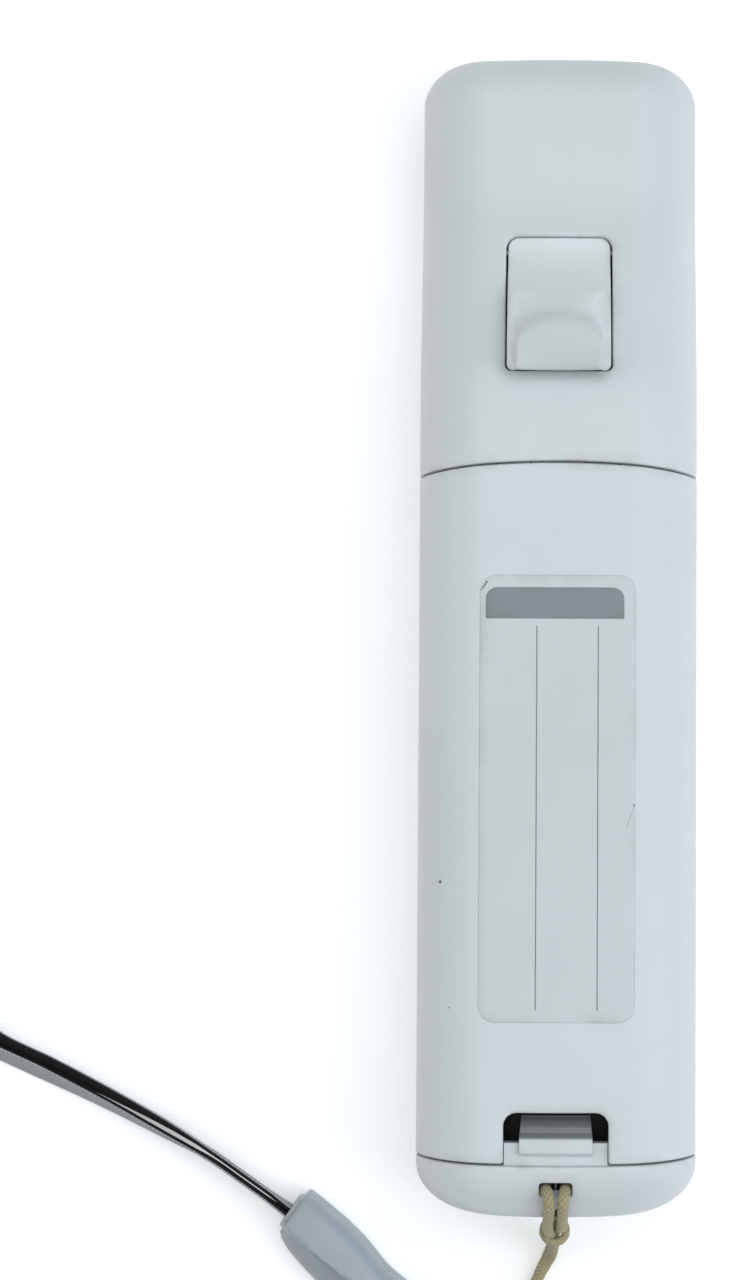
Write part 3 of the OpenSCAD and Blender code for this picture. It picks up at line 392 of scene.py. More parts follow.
def panel(surface, outline, holes=(), spacing=1.0, roll=0.25, thick=WALL, creases=()):
    """A wall with rounded edges: a flat outline with holes, meshed and laid on a surface."""
    edges = [(outline, outward(outline))] + [(hole, -outward(hole)) for hole in holes]
    inset = [points - normal * roll for points, normal in edges]
    low, high = outline.min(0), outline.max(0)
    rows = []
    for i, y in enumerate(np.arange(low[1] + spacing / 2, high[1], spacing * ROW_SHARE)):
        xs = np.arange(low[0] + spacing * (0.5 + 0.5 * (i % 2)), high[0], spacing)
        rows.append(np.stack([xs, np.full_like(xs, y)], -1))
    grid = np.concatenate(rows)
    rim_points = np.concatenate(inset)
    fixed = np.concatenate([rim_points, *creases])
    keep = holds(inset[0], grid) & (nearest(grid, fixed) > CLEAR_SHARE * spacing)
    for hole in inset[1:]:
        keep &= ~holds(hole, grid)
    flat = np.concatenate([fixed, grid[keep]])
    links, first = [], 0
    for points in inset:
        links += [(first + k, first + (k + 1) % len(points)) for k in range(len(points))]
        first += len(points)
    for points in creases:
        links += [(first + k, first + k + 1) for k in range(len(points) - 1)]
        first += len(points)
    made = delaunay_2d_cdt([Vector(p) for p in flat], links, [], 0, 1e-6)
    places = np.array([tuple(p) for p in made[0]])
    index = {old: new for new, olds in enumerate(made[3]) for old in olds}
    tris = np.array(made[2])
    middle = places[tris].mean(1)
    inside = holds(inset[0], middle)
    for hole in inset[1:]:
        inside &= ~holds(hole, middle)
    tris = tris[inside]
    points = [surface(places, 0.0)]
    rims = [np.clip(1 - nearest(places, rim_points) / GRIME_REACH, 0, 1) ** 2 * GRIME_MOST]
    faces = [tuple(t) for t in tris]
    below = np.arange(len(places)) + len(places)
    points.append(surface(places, thick))
    rims.append(np.ones(len(places)))
    total = 2 * len(places)
    first = 0
    for (boundary, normal), start in zip(edges, inset):
        count = len(start)
        last = [index[first + k] for k in range(count)]
        for lean in EDGE_TURNS:
            points.append(surface(start + normal * roll * math.sin(lean), roll * (1 - math.cos(lean))))
            rims.append(np.ones(count))
            ring = list(range(total, total + count))
            faces += band(last, ring)
            last = ring
            total += count
        points.append(surface(boundary, thick))
        rims.append(np.ones(count))
        ring = list(range(total, total + count))
        faces += band(last, ring)
        for k in range(count):
            below[index[first + k]] = ring[k]
        total += count
        first += count
    faces += [tuple(below[t][::-1]) for t in tris]
    return np.concatenate(points), faces, np.concatenate(rims)


def core(node, side, depth=0.7):
    """The CAD node's own inner walls, ribs and posts, drawn in under the new skin."""
    work = bmesh.new()
    work.from_mesh(nodes[node].data)
    bmesh.ops.remove_doubles(work, verts=work.verts, dist=1e-6)
    work.verts.index_update()
    points = np.array([v.co for v in work.verts]) / MM
    faces = [tuple(v.index for v in face.verts) for face in work.faces]
    work.free()
    points[:, 1] = np.clip(points[:, 1], depth - END_Y, END_Y - depth)
    tail = np.where(points[:, 1] < 0, TAIL_DEPTH, NOSE_DEPTH)
    past = np.clip((np.abs(points[:, 1]) - END_Y + tail) / tail, 0, 1)
    along = np.where(past > 0, np.sign(points[:, 1]) * (END_Y - tail + tail * np.arcsin(past)), points[:, 1])
    y, half, rise, radius, turn = section(side, along)
    height = side * (points[:, 2] - PART_Z)
    for _ in range(DRAW_SWEEPS):
        out = np.stack([np.abs(points[:, 0]) - half + radius, height - rise + radius], -1)
        round_part = np.maximum(out, 0)
        length = np.linalg.norm(round_part, axis=1)
        gap = radius - length - np.minimum(out.max(1), 0)
        push = np.clip(depth / np.maximum(np.cos(turn), LEAST_COSINE) - gap, 0, None)
        sideways = out[:, 0] > out[:, 1]
        heading = np.where((length > 1e-6)[:, None], round_part / np.maximum(length, 1e-6)[:, None],
                           np.stack([sideways, ~sideways], -1))
        points[:, 0] -= np.sign(points[:, 0]) * heading[:, 0] * push
        height -= heading[:, 1] * push * (height > 0)
    points[:, 1] = blunted(points[:, 1])
    points[:, 2] = PART_Z + side * height
    return points, faces, np.full(len(points), 0.5)


def joined(*parts):
    points, faces, rims, total = [], [], [], 0
    for part_points, part_faces, part_rims in parts:
        points.append(part_points)
        rims.append(part_rims)
        faces += [tuple(int(i) + total for i in face) for face in part_faces]
        total += len(part_points)
    return np.concatenate(points), faces, np.concatenate(rims)


COVER_EDGE = 26.61
COVER_FRONT, COVER_FRONT_ARC = 20.5, 113.0
COVER_REAR, COVER_REAR_BOW = -66.3, 540.0


def bowed(points):
    """Front and rear ends of the cover are shallow arcs across the back."""
    x = skin(REAR, points[:, 0], np.zeros(len(points)))[:, 0]
    share = np.clip((points[:, 1] - COVER_REAR) / (COVER_FRONT - COVER_REAR), 0, 1)
    front = np.sqrt(COVER_FRONT_ARC ** 2 - x ** 2) - COVER_FRONT_ARC
    points[:, 1] += front * share ** 4 + x ** 2 / COVER_REAR_BOW * (1 - share) ** 4
    return points


def whole_outline(side):
    edge = sum(spans(side))
    tail = -(END_Y - TAIL_DEPTH + TAIL_DEPTH * QUARTER + CAP_RUN)
    nose = END_Y - NOSE_DEPTH + NOSE_DEPTH * QUARTER + CAP_RUN
    return box_loop(-edge, edge, tail, nose, 0.3, 0.8)


cover_zone = bowed(box_loop(COVERED - COVER_EDGE, COVER_EDGE - COVERED, COVER_REAR + COVERED,
                            COVER_FRONT - COVERED, 0.8))
trigger_hole = loop([(-HOLE_HALF, HOLE_REAR, HOLE_REAR_ROUND), (HOLE_HALF, HOLE_REAR, HOLE_REAR_ROUND),
                     (HOLE_HALF, HOLE_FRONT, HOLE_FRONT_ROUND),
                     (-HOLE_HALF, HOLE_FRONT, HOLE_FRONT_ROUND)], 0.4)
strap_hole = np.array([(across_at(REAR, x, along_at(y)), along_at(y))
                       for x, y in box_loop(*STRAP_HOLE, 0.45, 0.25)])
back_skin = skin_of(REAR)
rear_skin = panel(back_skin, whole_outline(REAR), [cover_zone, trigger_hole, strap_hole])
rear_core = core("rear_case", REAR)
x, y, z = rear_core[0].T
at_hole = (np.abs(x) < GROWN_HALF) & (y > GROWN_FROM) & (y < GROWN_TO) & (z > GROWN_ABOVE)
y[at_hole] += GROWN * (y[at_hole] - GROWN_FROM) / GROWN_LONG
rear_shape = joined(rear_skin, rear_core)
x, y, z = rear_shape[0].T
# Painted shade: the latch pocket under the notch is painted near black.
shaded_pocket = (np.abs(x) < POCKET_HALF) & (np.abs(y - POCKET_Y) < POCKET_LONG) & (z < POCKET_TOP)
finished("rear_case_shell", rear_shape, case_white, "case", replaced=["rear_case"],
         layers={"dirt_and_shade": shaded_pocket})


# Front half of the case: the white moulding under the buttons, with a hole for each of them, the sound
# holes over the speaker and four light slots. It lies towards the floor in the photograph.
CROSS_HOLE = (8.92, 3.22)
CROSS_Y = 45.0
LIGHT_HALF = 1.07
ROUND_HOLES = ((0, 16, 5.87), (-9, -5, 2.37), (0, -5, 2.37), (9, -5, 2.37), (0, -40, 3.67), (0, -52, 3.67),
               (9.5, 61, 2.27))
SOUND_HOLES = [(i * 2.6, -22.5 + j * 2.6, 0.57) for i in range(-2, 3) for j in range(-1, 2)]
LIGHT_SLOTS = [(i * 4.4 - 6.6, -62.5) for i in range(4)]


def cross_loop(reach, half, y, outer=1.2, inner=0.5):
    arm = [(half, -reach, outer), (half, -half, inner), (reach, -half, outer)]
    corners = []
    for _ in range(4):
        corners += arm
        arm = [(-up, across, radius) for across, up, radius in arm]
    return loop(corners, 0.4) + np.array([0, y])


front_holes = [cross_loop(*CROSS_HOLE, CROSS_Y)]
front_holes += [ring_loop(*place) for place in ROUND_HOLES]
front_holes += [ring_loop(*place, 20) for place in SOUND_HOLES]
front_holes += [box_loop(x - LIGHT_HALF, x + LIGHT_HALF, y - LIGHT_HALF, y + LIGHT_HALF, 0.3, 0.3)
                for x, y in LIGHT_SLOTS]
front_skin = panel(skin_of(FRONT), whole_outline(FRONT), front_holes, roll=0.2)
finished("front_case_shell", joined(front_skin, core("front_case", FRONT)), case_white, "case",
         replaced=["front_case"])


# Battery cover: a thin curved lid of the case's white plastic that wraps the sides and ends in shallow
# arcs. Two hooks in front hold it, and the latch behind. A plain label plate is let into its middle.
COVER_GAP = 0.3
NOTCH_HALF = 6.45
NOTCH_TOP = -59.75
LABEL_HALF = 9.6
LABEL_TOP = 6.27
LABEL_BOTTOM = -48.73
LABEL_RAISED, MARKS_RAISED = 0.07, 0.1
COVER_WALL = 1.55
HOOK_X, HOOK_HALF = 5.5, 2.0
BAND_LEFT, BAND_RIGHT, BAND_LOW, BAND_HIGH = -8.9, 8.2, 0.87, 4.75
RULES_X, RULE_HALF, RULE_LOW, RULE_HIGH = (-2.57, 5.0), 0.07, -47.2, 0.0


def block(x0, x1, y0, y1, z0, z1, bevel=0.15):
    work = bmesh.new()
    bmesh.ops.create_cube(work, size=1.0)
    size = Vector((x1 - x0, y1 - y0, z1 - z0))
    middle = Vector((x0 + x1, y0 + y1, z0 + z1)) / 2
    for vertex in work.verts:
        vertex.co = Vector(a * b for a, b in zip(vertex.co, size)) + middle
    bmesh.ops.bevel(work, geom=work.edges[:], offset=bevel, segments=2, affect="EDGES", profile=0.7)
    work.verts.index_update()
    points = np.array([v.co for v in work.verts])
    faces = [tuple(v.index for v in face.verts) for face in work.faces]
    work.free()
    return points, faces, np.full(len(points), 0.6)


edge = COVER_EDGE - COVER_GAP
rear, front = COVER_REAR + COVER_GAP, COVER_FRONT - COVER_GAP
cover_outline = bowed(loop([(-edge, rear, 0.8), (-NOTCH_HALF, rear, 0.45), (-NOTCH_HALF, NOTCH_TOP, 1.6),
                            (NOTCH_HALF, NOTCH_TOP, 1.6), (NOTCH_HALF, rear, 0.45), (edge, rear, 0.8),
                            (edge, front, 0.8), (-edge, front, 0.8)]))
cover_skin = panel(back_skin, cover_outline, thick=COVER_WALL)
hooks = [block(x - HOOK_HALF, x + HOOK_HALF, *sizes)
         for sizes in ((18.5, 22.2, 23.8, 24.8), (18.5, 19.9, 24.5, 26.0)) for x in (-HOOK_X, HOOK_X)]
cover_white = moulded("cover white", (0.605, 0.65, 0.668), flecks=((-14.4, -31.6, 0.2), (-13.2, -47.0, 0.09)))
finished("battery_cover_lid", joined(cover_skin, *hooks), cover_white, "cover",
         replaced=["battery_cover"])


SCUFF = [(-9.4, 4.45, 0.1), (-9.2, 4.75, 0.14), (-9.0, 5.05, 0.15), (-8.8, 5.35, 0.15)]
SCRATCH = [(9.46, -22.05, 0.13)] + [(9.44 - 0.08 * k, -22.3 - 0.225 * k, 0.055) for k in range(12)]
label_white = moulded("label white", (0.55, 0.592, 0.608), 0.4, grime=0.5, specks=0.6, grain=0.015,
                      flecks=SCUFF + SCRATCH)
band_grey = moulded("label band grey", (0.19, 0.225, 0.24), 0.42, grime=0.3, specks=0.2, grain=0.02)
label_outline = box_loop(-LABEL_HALF, LABEL_HALF, LABEL_BOTTOM, LABEL_TOP, 2.0, 0.6)
label_points, label_faces, label_rims = panel(skin_of(REAR, LABEL_RAISED), label_outline, roll=0.06,
                                              thick=0.12)
finished("label_plate", (label_points, label_faces, label_rims ** 5), label_white, "cover",
         layers={"dirt_and_shade": np.where(label_rims > 0.99, 0.3, 0.0)})
marks = [loop([(BAND_LEFT, BAND_LOW, 0.15), (BAND_RIGHT, BAND_LOW, 0.15), (BAND_RIGHT, BAND_HIGH, 1.4),
               (BAND_LEFT, BAND_HIGH, 1.4)])]
marks += [box_loop(x - RULE_HALF, x + RULE_HALF, RULE_LOW, RULE_HIGH, 0.05, 0.6) for x in RULES_X]
marks = [panel(skin_of(REAR, MARKS_RAISED), mark, roll=0.02, thick=0.1, spacing=0.9) for mark in marks]
finished("label_marks", joined(*marks), band_grey, "cover")


# Cover latch: the springy white tongue moulded on the cover's rear edge. It dips behind its root, rises
# to a finger lip and snaps over the ledge of the rear half.
TONGUE_HALF, TONGUE_Z = 4.5, 26.8
TONGUE = ((6.25, -0.9), (5.5, -1.55), (4.6, -2.05), (3.95, -1.75), (3.55, -0.45), (3.3, -0.05), (1.7, -0.05),
          (1.4, -0.3), (1.4, -0.7), (3.05, -0.75), (3.25, -2.4), (4.45, -3.0), (6.25, -1.9))


def lofted(rings, ring_shut=False):
    """Walls between rings of equal count, with flat ends or with the last ring joined to the first."""
    ids = np.arange(len(rings) * len(rings[0])).reshape(len(rings), -1).tolist()
    faces = [face for first, second in zip(ids, ids[1:]) for face in band(first, second)]
    if ring_shut:
        faces += band(ids[-1], ids[0])
    else:
        faces += [tuple(ids[0][::-1]), tuple(ids[-1])]
    return np.concatenate(rings), faces


def extruded(outline, half, roll=0.12):
    """A side view in (y, z) drawn out across the wand, with rounded ends."""
    normal = outward(outline)
    count = len(outline)
    rings = []
    for end in (-1, 1):
        for lean in [0.0, *EDGE_TURNS][::-end]:
            rows = outline - normal * roll * (1 - math.sin(lean))
            across = end * (half - roll * (1 - math.cos(lean)))
            rings.append(np.column_stack([np.full(count, across), rows]))
    points, faces = lofted(rings)
    faces = faces[:-2]
    flat = [Vector(p) for p in rings[0][:, 1:]]
    links = [(k, (k + 1) % count) for k in range(count)]
    cap = delaunay_2d_cdt(flat, links, [], 1, 1e-7)
    index = {new: olds[0] for new, olds in enumerate(cap[3])}
    last = (len(rings) - 1) * count
    for tri in cap[2]:
        ids = [index[i] for i in tri]
        faces.append(tuple(ids[::-1]))
        faces.append(tuple(i + last for i in ids))
    return points, faces, np.full(len(points), 0.35)


tongue = loop([(COVER_REAR + y, TONGUE_Z + z, 0.16) for y, z in TONGUE], 0.3)
tongue_shape = extruded(tongue, TONGUE_HALF)
from_edge = tongue_shape[0][:, 1] - COVER_REAR
tongue_shape[0][:, 0] *= np.interp(from_edge, (3.5, 6.2), (1.0, 0.945))
# Painted shade: the tongue is painted darker from its lip back to its root, in the dip under the cover's
# edge.
tongue_shade = np.interp(from_edge, (3.35, 3.5, 4.6, 6.2), (0.0, 0.5, 0.75, 0.95))
finished("latch_tongue", tongue_shape, case_white, "latch", replaced=["cover_latch"],
         layers={"dirt_and_shade": tongue_shade})


# Trigger: a white lever hinged at the front of its opening. Its hollow face rises to a rounded lip that
# stands over the back, with a low shoulder at each side, and is cut back under the lip to let it pull.
TRIGGER_REAR = 31.3
TRIGGER_FRONT = 49.2
TRIGGER_HALF = 6.42
REAR_ROUND, FRONT_ROUND = 0.75, 1.3
LIP_HALF = 5.55
LIP_CORNER = 1.6
SHOULDER_Z = 26.75
SHOULDER_EASE = 1.6
WING_RISE, WING_FROM, WING_TO = 2.9, 41.0, 33.2
NECK_Y, NECK_STEP = 33.5, 0.35
UNDER_Y = (31.3, 32.5, 33.1, NECK_Y)
UNDER_DEEP = (0.3, 0.5, 0.7, 2.2)
SOLE_Z = 18.9
LIP_BOW = 0.055
LIP_EASE, LIP_EDGE = 0.35, 0.8
CORNER_FROM, CORNER_LONG = 41.5, 2.5
CROWN = 0.12
HEEL_Y, HEEL_TAPER = 47.4, 0.985
TRIGGER_DEEP = 3.0
LIP_SHADE_FROM, LIP_SHADE_LONG = 28.6, 1.4
LIP_Y = (30.9, 31.5, 32.5, 34.0, 35.5, 37.0, 37.9, 38.6, 39.3)
LIP_Z = (29.3, 29.6, 30.0, 30.35, 30.52, 30.45, 30.15, 29.55, 28.6)
RISE_FROM, RISE, RISE_LONG, RISE_BEND = 21.39, 7.21, 9.9, 1.95
PIVOT_Y, PIVOT_Z = 48.0, 17.29
HUB_PROFILE = ((1.05, -6.4), (1.75, -6.4), (1.9, -6.25), (1.9, 6.25), (1.75, 6.4), (1.05, 6.4))
PLUNGER = (-1.5, 1.5, 35.7, 38.7, 14.29, 22.6)


def trigger_top(x, y):
    reach = np.abs(x)
    past = np.clip(reach - LIP_HALF + LIP_CORNER, 0, LIP_CORNER)
    corner = LIP_CORNER - np.sqrt(LIP_CORNER ** 2 - past ** 2) + LIP_BOW * np.minimum(reach, LIP_HALF) ** 2
    set_back = y + corner * np.clip((CORNER_FROM - y) / CORNER_LONG, 0, 1)
    rising = RISE_FROM + RISE * np.clip((TRIGGER_FRONT - set_back) / RISE_LONG, 0, 1) ** RISE_BEND
    lip = np.where(set_back < LIP_Y[-1], np.interp(set_back, LIP_Y, LIP_Z), rising)
    climb = SHOULDER_Z - RISE_FROM - RISE * np.clip((TRIGGER_FRONT - y) / RISE_LONG, 0, 1) ** RISE_BEND
    shoulder = SHOULDER_Z - 0.5 * (climb + np.sqrt(climb ** 2 + SHOULDER_EASE ** 2))
    wing = np.clip((WING_FROM - y) / (WING_FROM - WING_TO), 0, 1)
    shoulder = shoulder + WING_RISE * wing * wing * (3 - 2 * wing)
    on_lip = np.clip((LIP_HALF + LIP_EASE - reach) / LIP_EDGE, 0, 1)
    on_lip = on_lip * on_lip * (3 - 2 * on_lip)
    crown = CROWN * (reach / LIP_HALF) ** 4 * (reach < LIP_HALF + 0.2)
    return shoulder + on_lip * np.maximum(lip - crown - shoulder, 0)


def trigger_face(points, depth):
    x, y = points[:, 0].copy(), points[:, 1].copy()
    z = trigger_top(x, y) - depth
    if depth == TRIGGER_DEEP:
        over = y < NECK_Y + 0.1
        under = z + depth - np.interp(y, UNDER_Y, UNDER_DEEP)
        z = np.where(over, under, SOLE_Z)
        y = np.where(over, y, np.clip(y, NECK_Y + NECK_STEP, HEEL_Y))
        x = x * HEEL_TAPER
    return np.stack([x, y, z], -1)


trigger_outline = loop([(-TRIGGER_HALF, TRIGGER_REAR, REAR_ROUND), (TRIGGER_HALF, TRIGGER_REAR, REAR_ROUND),
                        (TRIGGER_HALF, TRIGGER_FRONT, FRONT_ROUND),
                        (-TRIGGER_HALF, TRIGGER_FRONT, FRONT_ROUND)], 0.3)
lip_sides = [np.array([(side * (LIP_HALF + off), y) for y in np.arange(32.4, 41.0, 0.3)])
             for side in (-1, 1) for off in (LIP_EASE - LIP_EDGE, -0.05, LIP_EASE)]
neck_lines = [np.array([(x, y) for x in np.arange(-4.8, 4.9, 0.3)]) for y in (NECK_Y, NECK_Y + NECK_STEP)]
trigger_body = panel(trigger_face, trigger_outline, spacing=0.4, roll=0.2, thick=TRIGGER_DEEP,
                     creases=lip_sides + neck_lines)


def lathe(profile, place, axis="z", parts=56, rim=0.4):
    angles = np.arange(parts) * 2 * math.pi / parts
    ring = np.stack([np.cos(angles), np.sin(angles)], -1)
    rings = []
    for radius, height in profile:
        flat = ring * max(radius, 1e-4)
        heights = np.full(parts, height)
        order = {"z": (flat[:, 0], flat[:, 1], heights), "x": (heights, flat[:, 0], flat[:, 1]),
                 "y": (flat[:, 1], heights, flat[:, 0])}[axis]
        rings.append(np.stack(order, -1) + np.asarray(place, float))
    return *lofted(rings), np.full(parts * len(profile), rim)


hub = lathe(HUB_PROFILE, (0, PIVOT_Y, PIVOT_Z), "x")
trigger_shape = joined(trigger_body, hub, block(*PLUNGER))
# Painted shade: the top of the lip is painted darker.
lip_painted_shade = 0.2 * np.clip((trigger_shape[0][:, 2] - LIP_SHADE_FROM) / LIP_SHADE_LONG, 0, 1)
# Painted light: the trigger's white is lighter than the case's, to lift its shaded scoop.
trigger_painted_light_white = moulded("trigger white", (0.67, 0.715, 0.73))
finished("trigger_lever_lip", trigger_shape, trigger_painted_light_white, "trigger_lever", sharp=40,
         replaced=["trigger"], layers={"dirt_and_shade": lip_painted_shade})


# Buttons of the front: glossy white mouldings, round and softly domed, and a greyer one for the power.
# Each stands through the face on a rubber keypad, and a hidden rim under the wall keeps it in.
button_white = moulded("button white", (0.66, 0.71, 0.73), 0.22, grime=0.4, specks=0.1, grain=0.006,
                       coat=0.35)
power_tint = moulded("power button grey", (0.5, 0.55, 0.57), 0.28, grime=0.4, specks=0.1, grain=0.006,
                     coat=0.3)
RIM_Z = 2.85
RIM_T = 1.3
RIM_OUT, RIM_SOFT = 0.9, 0.15
BUTTONS = {"a_button": ("thumb_key", 0, 16, 5.6, 0.0), "minus_button": ("minus_key", 9, -5, 2.1, 0.6),
           "home_button": ("home_key", 0, -5, 2.1, 0.6), "plus_button": ("plus_key", -9, -5, 2.1, 0.6),
           "one_button": ("one_key", 0, -40, 3.4, 0.0), "two_button": ("two_key", 0, -52, 3.4, 0.0),
           "power_button": ("power_key", 9.5, 61, 2.0, 0.9)}
for node, (body, x, y, radius, top) in BUTTONS.items():
    soft = min(0.5, 0.2 * radius)
    dome = [(radius * share, top + 0.35 * soft * share ** 4) for share in (0.0, 0.25, 0.5, 0.7, 0.82)]
    edge_arc = [(radius - soft * (1 - math.sin(a)), top + 0.2 * soft + soft * (1 - math.cos(a)))
                for a in np.radians([25, 45, 65, 80, 90])]
    out, far = radius + RIM_OUT, RIM_Z + RIM_T
    flange = [(radius, RIM_Z), (out - RIM_SOFT, RIM_Z), (out, RIM_Z + RIM_SOFT), (out, far - RIM_SOFT),
              (out - RIM_SOFT, far), (0.0, far)]
    finished(node + "_cap", lathe(dome + edge_arc + flange, (x, y, 0), rim=0.3),
             power_tint if node == "power_button" else button_white, body, replaced=[node])


# Cross pad: one glossy white moulding, a cross with softened arms and a shallow dish in its middle.
# A round plate under it rocks on the pivot and keeps the cross behind the face.
CROSS_TOP = 0.4
CROSS_ARM = 8.5
CROSS_HALF = 2.8
CROSS_DEEP = 2.4
DISH, DISH_RADIUS = 0.45, 3.4
FALL, FALL_FROM, FALL_LONG = 0.3, 4.5, 4.0


def cross_face(points, depth):
    reach = np.linalg.norm(points, axis=1)
    dish = DISH * np.clip(1 - reach / DISH_RADIUS, 0, 1) ** 1.5
    fall = FALL * np.clip((reach - FALL_FROM) / FALL_LONG, 0, 1) ** 2
    z = CROSS_TOP + dish + fall + depth
    if depth == CROSS_DEEP:
        z = np.full_like(z, RIM_Z)
    return np.stack([points[:, 0], points[:, 1] + CROSS_Y, z], -1)


cross_arms = panel(cross_face, cross_loop(CROSS_ARM, CROSS_HALF, 0, 0.7, 0.35), spacing=0.5, roll=0.45,
                   thick=CROSS_DEEP)
rocker = lathe([(0.0, 2.6), (4.5, 2.6), (4.5, 3.55), (9.2, 3.55), (9.4, 3.7), (9.4, 4.0), (9.2, 4.15),
                (0.0, 4.15)], (0, CROSS_Y, 0))
finished("cross_pad_arms", joined(cross_arms, rocker), button_white, "cross_pad",
         replaced=["dpad_cross"])


# Wrist strap cord: a thin braided loop of beige polyester. Both strands leave the ferrule, lie on the
# floor, climb over the tail and turn round the pin in the strap hole. A short wrap holds them together.
CORD_D = 1.4
CORD_START = (-10.263, -91.991)
CORD_LOW, CORD_HIGH = 0.72, 2.2
CARRIERS = 6
BRAID_PITCH = 3.4
BRAID_RELIEF = 0.07
BOTH_LIE = ((-8.7, -93.1), (-7, -94.4), (-5, -95.4), (-3.1, -94.7), (-2.3, -92.7), (-2.5, -90.4),
            (-2.9, -88.1), (-2.9, -85.8))
UP_LIES = (*BOTH_LIE, (-2.1, -83.5), (-1.2, -81.6))
DOWN_LIES = (*BOTH_LIE, (-2.1, -83.8), (-1.2, -82.2))
STRAND_UP = ((-0.5, -79.8, 1.6), (-0.1, -78.3, 4.2), (0, -77.2, 8), (0, -76.4, 12.5), (0.2, -75.8, 17),
             (0.6, -75.4, 20.6), (0.8, -74.7, 23.3), (0.85, -73.2, 25.8), (0.9, -72, 27.1),
             (0.95, -70.9, 27.5), (1.05, -70, 27), (1.15, -69.65, 25.9), (1.25, -69.6, 24.9))
PIN_LOOP = ((1.25, -69.6, 24), (0.88, -69.6, 23.12), (0, -69.6, 22.75), (-0.88, -69.6, 23.12),
            (-1.25, -69.6, 24))
STRAND_DOWN = ((-1.25, -69.6, 24.9), (-1.1, -69.65, 25.9), (-0.9, -70, 27), (-0.75, -70.9, 27.5),
               (-0.75, -72, 27.1), (-0.85, -73.2, 25.8), (-0.95, -74.7, 23.4), (-0.8, -75.7, 21),
               (-0.3, -76.9, 17.6), (0, -77.8, 13.2), (0, -78.6, 9), (-0.2, -79.7, 5.2), (-0.5, -81, 2.9))


def smooth_route(points, step):
    """A smooth curve through the points, cut into even steps, and the run along it."""
    held = np.asarray(points, float)
    held = np.vstack([2 * held[0] - held[1], held, 2 * held[-1] - held[-2]])
    t = np.linspace(0, 1, 24, endpoint=False)[:, None]
    rows = []
    for a, b, c, d in zip(held, held[1:], held[2:], held[3:]):
        rows.append(b + 0.5 * t * ((c - a) + t * ((2 * a - 5 * b + 4 * c - d) + t * (3 * b - a - 3 * c + d))))
    dense = np.vstack([*rows, held[-2:-1]])
    run = np.concatenate([[0], np.cumsum(np.linalg.norm(np.diff(dense, axis=0), axis=1))])
    places = np.linspace(0, run[-1], max(2, int(run[-1] / step)) + 1)
    return np.stack([np.interp(places, run, column) for column in dense.T], -1), places


def unit(rows):
    return rows / np.maximum(np.linalg.norm(rows, axis=-1, keepdims=True), 1e-12)


def tube(route, radii):
    """A round wall along a route, with one row of radii for each of its points."""
    angle = np.arange(radii.shape[1]) * 2 * math.pi / radii.shape[1]
    side = np.array([0.0, 0.0, 1.0])
    rings = []
    for place, forward, radius in zip(route, unit(np.gradient(route, axis=0)), radii):
        side = unit(side - forward * (side @ forward))
        other = np.cross(forward, side)
        spokes = np.outer(np.cos(angle), side) + np.outer(np.sin(angle), other)
        rings.append(place + radius[:, None] * spokes)
    return lofted(rings)


def braided(route, places, diameter, parts=40):
    """A round braid along a route, with the height of its yarns for each point."""
    angle = CARRIERS * np.arange(parts) * 2 * math.pi / parts
    twist = CARRIERS * 2 * math.pi * places[:, None] / BRAID_PITCH
    yarns = np.maximum(np.cos(angle + twist), np.cos(angle - twist))
    return *tube(route, diameter / 2 - BRAID_RELIEF * (1 - yarns) / 2), yarns.ravel()


def yarn_material():
    material, tree, shader, where = blank_finish("beige braid")
    fibre = noise(tree, where, 5200.0, 3.0)
    dirt_and_shade = noise(tree, where, 210.0, 4.0)
    height = calc(tree, "MULTIPLY_ADD", fibre, 0.5, between(tree, layer(tree, "yarn"), 0.0, 1.0))
    # Painted shade: the grooves between the yarns are painted darker than their crowns.
    colour = tint(tree, between(tree, height, 0.1, 1.3), (0.24, 0.215, 0.115, 1), (0.43, 0.385, 0.235, 1))
    colour = tint(tree, between(tree, dirt_and_shade, 0.45, 0.75, 0.0, 0.55), colour, (0.3, 0.26, 0.17, 1))
    lay_finish(tree, shader, colour, between(tree, fibre, 0.3, 0.7, 0.75, 0.95), fibre, 0.5,
               Sheen_Weight=0.15)
    return material


BRAID_STEP = 0.13
LIFT_HIGH = 8.0
going = [(*place, CORD_LOW) for place in (CORD_START, *UP_LIES)]
coming = [(*place, CORD_HIGH) for place in (*DOWN_LIES[::-1], CORD_START)]
cord_points = np.array([*going, *STRAND_UP, *PIN_LOOP, *STRAND_DOWN, *coming])
lifted = np.clip(cord_points[:, 2] / LIFT_HIGH, 0, 1)
cord_points[:, 1] += lifted * (blunted(cord_points[:, 1]) - cord_points[:, 1])
cord_route, cord_run = smooth_route(cord_points, BRAID_STEP)
cord_mesh, cord_faces, cord_yarns = braided(cord_route, cord_run, CORD_D)
beige_braid = yarn_material()
strap_cord = finished("strap_cord_braid", (cord_mesh, cord_faces), beige_braid, "case",
                      sharp=80, replaced=["strap_cord"], layers={"yarn": cord_yarns})
WRAP_AT = np.array([-0.1, -75.2, 18.6])
WRAP_HALF = 1.45
WRAP_D = 0.95
WRAP_TUCK = 0.55
turns = np.radians(np.arange(-150, 571, 15))
lean = np.array([0.0, 0.96, -0.28])
down = np.array([0.0, -0.28, -0.96])
around = np.outer(np.cos(turns), [1, 0, 0]) + np.outer(np.sin(turns), lean)
sinking = np.outer((turns - turns.mean()) / (2 * math.pi) * WRAP_D, down)
wrap_points = WRAP_AT + WRAP_HALF * around + sinking
wrap_points[[0, -1]] = WRAP_AT + (wrap_points[[0, -1]] - WRAP_AT) * WRAP_TUCK
wrap_route, wrap_run = smooth_route(wrap_points, BRAID_STEP)
wrap_mesh, wrap_faces, wrap_yarns = braided(wrap_route, wrap_run, WRAP_D, 20)
cord_wrap = finished("strap_cord_wrap", (wrap_mesh, wrap_faces), beige_braid, "case", sharp=80,
                     layers={"yarn": wrap_yarns})
[tuple(p) for p in cord_route[::4] * MM]
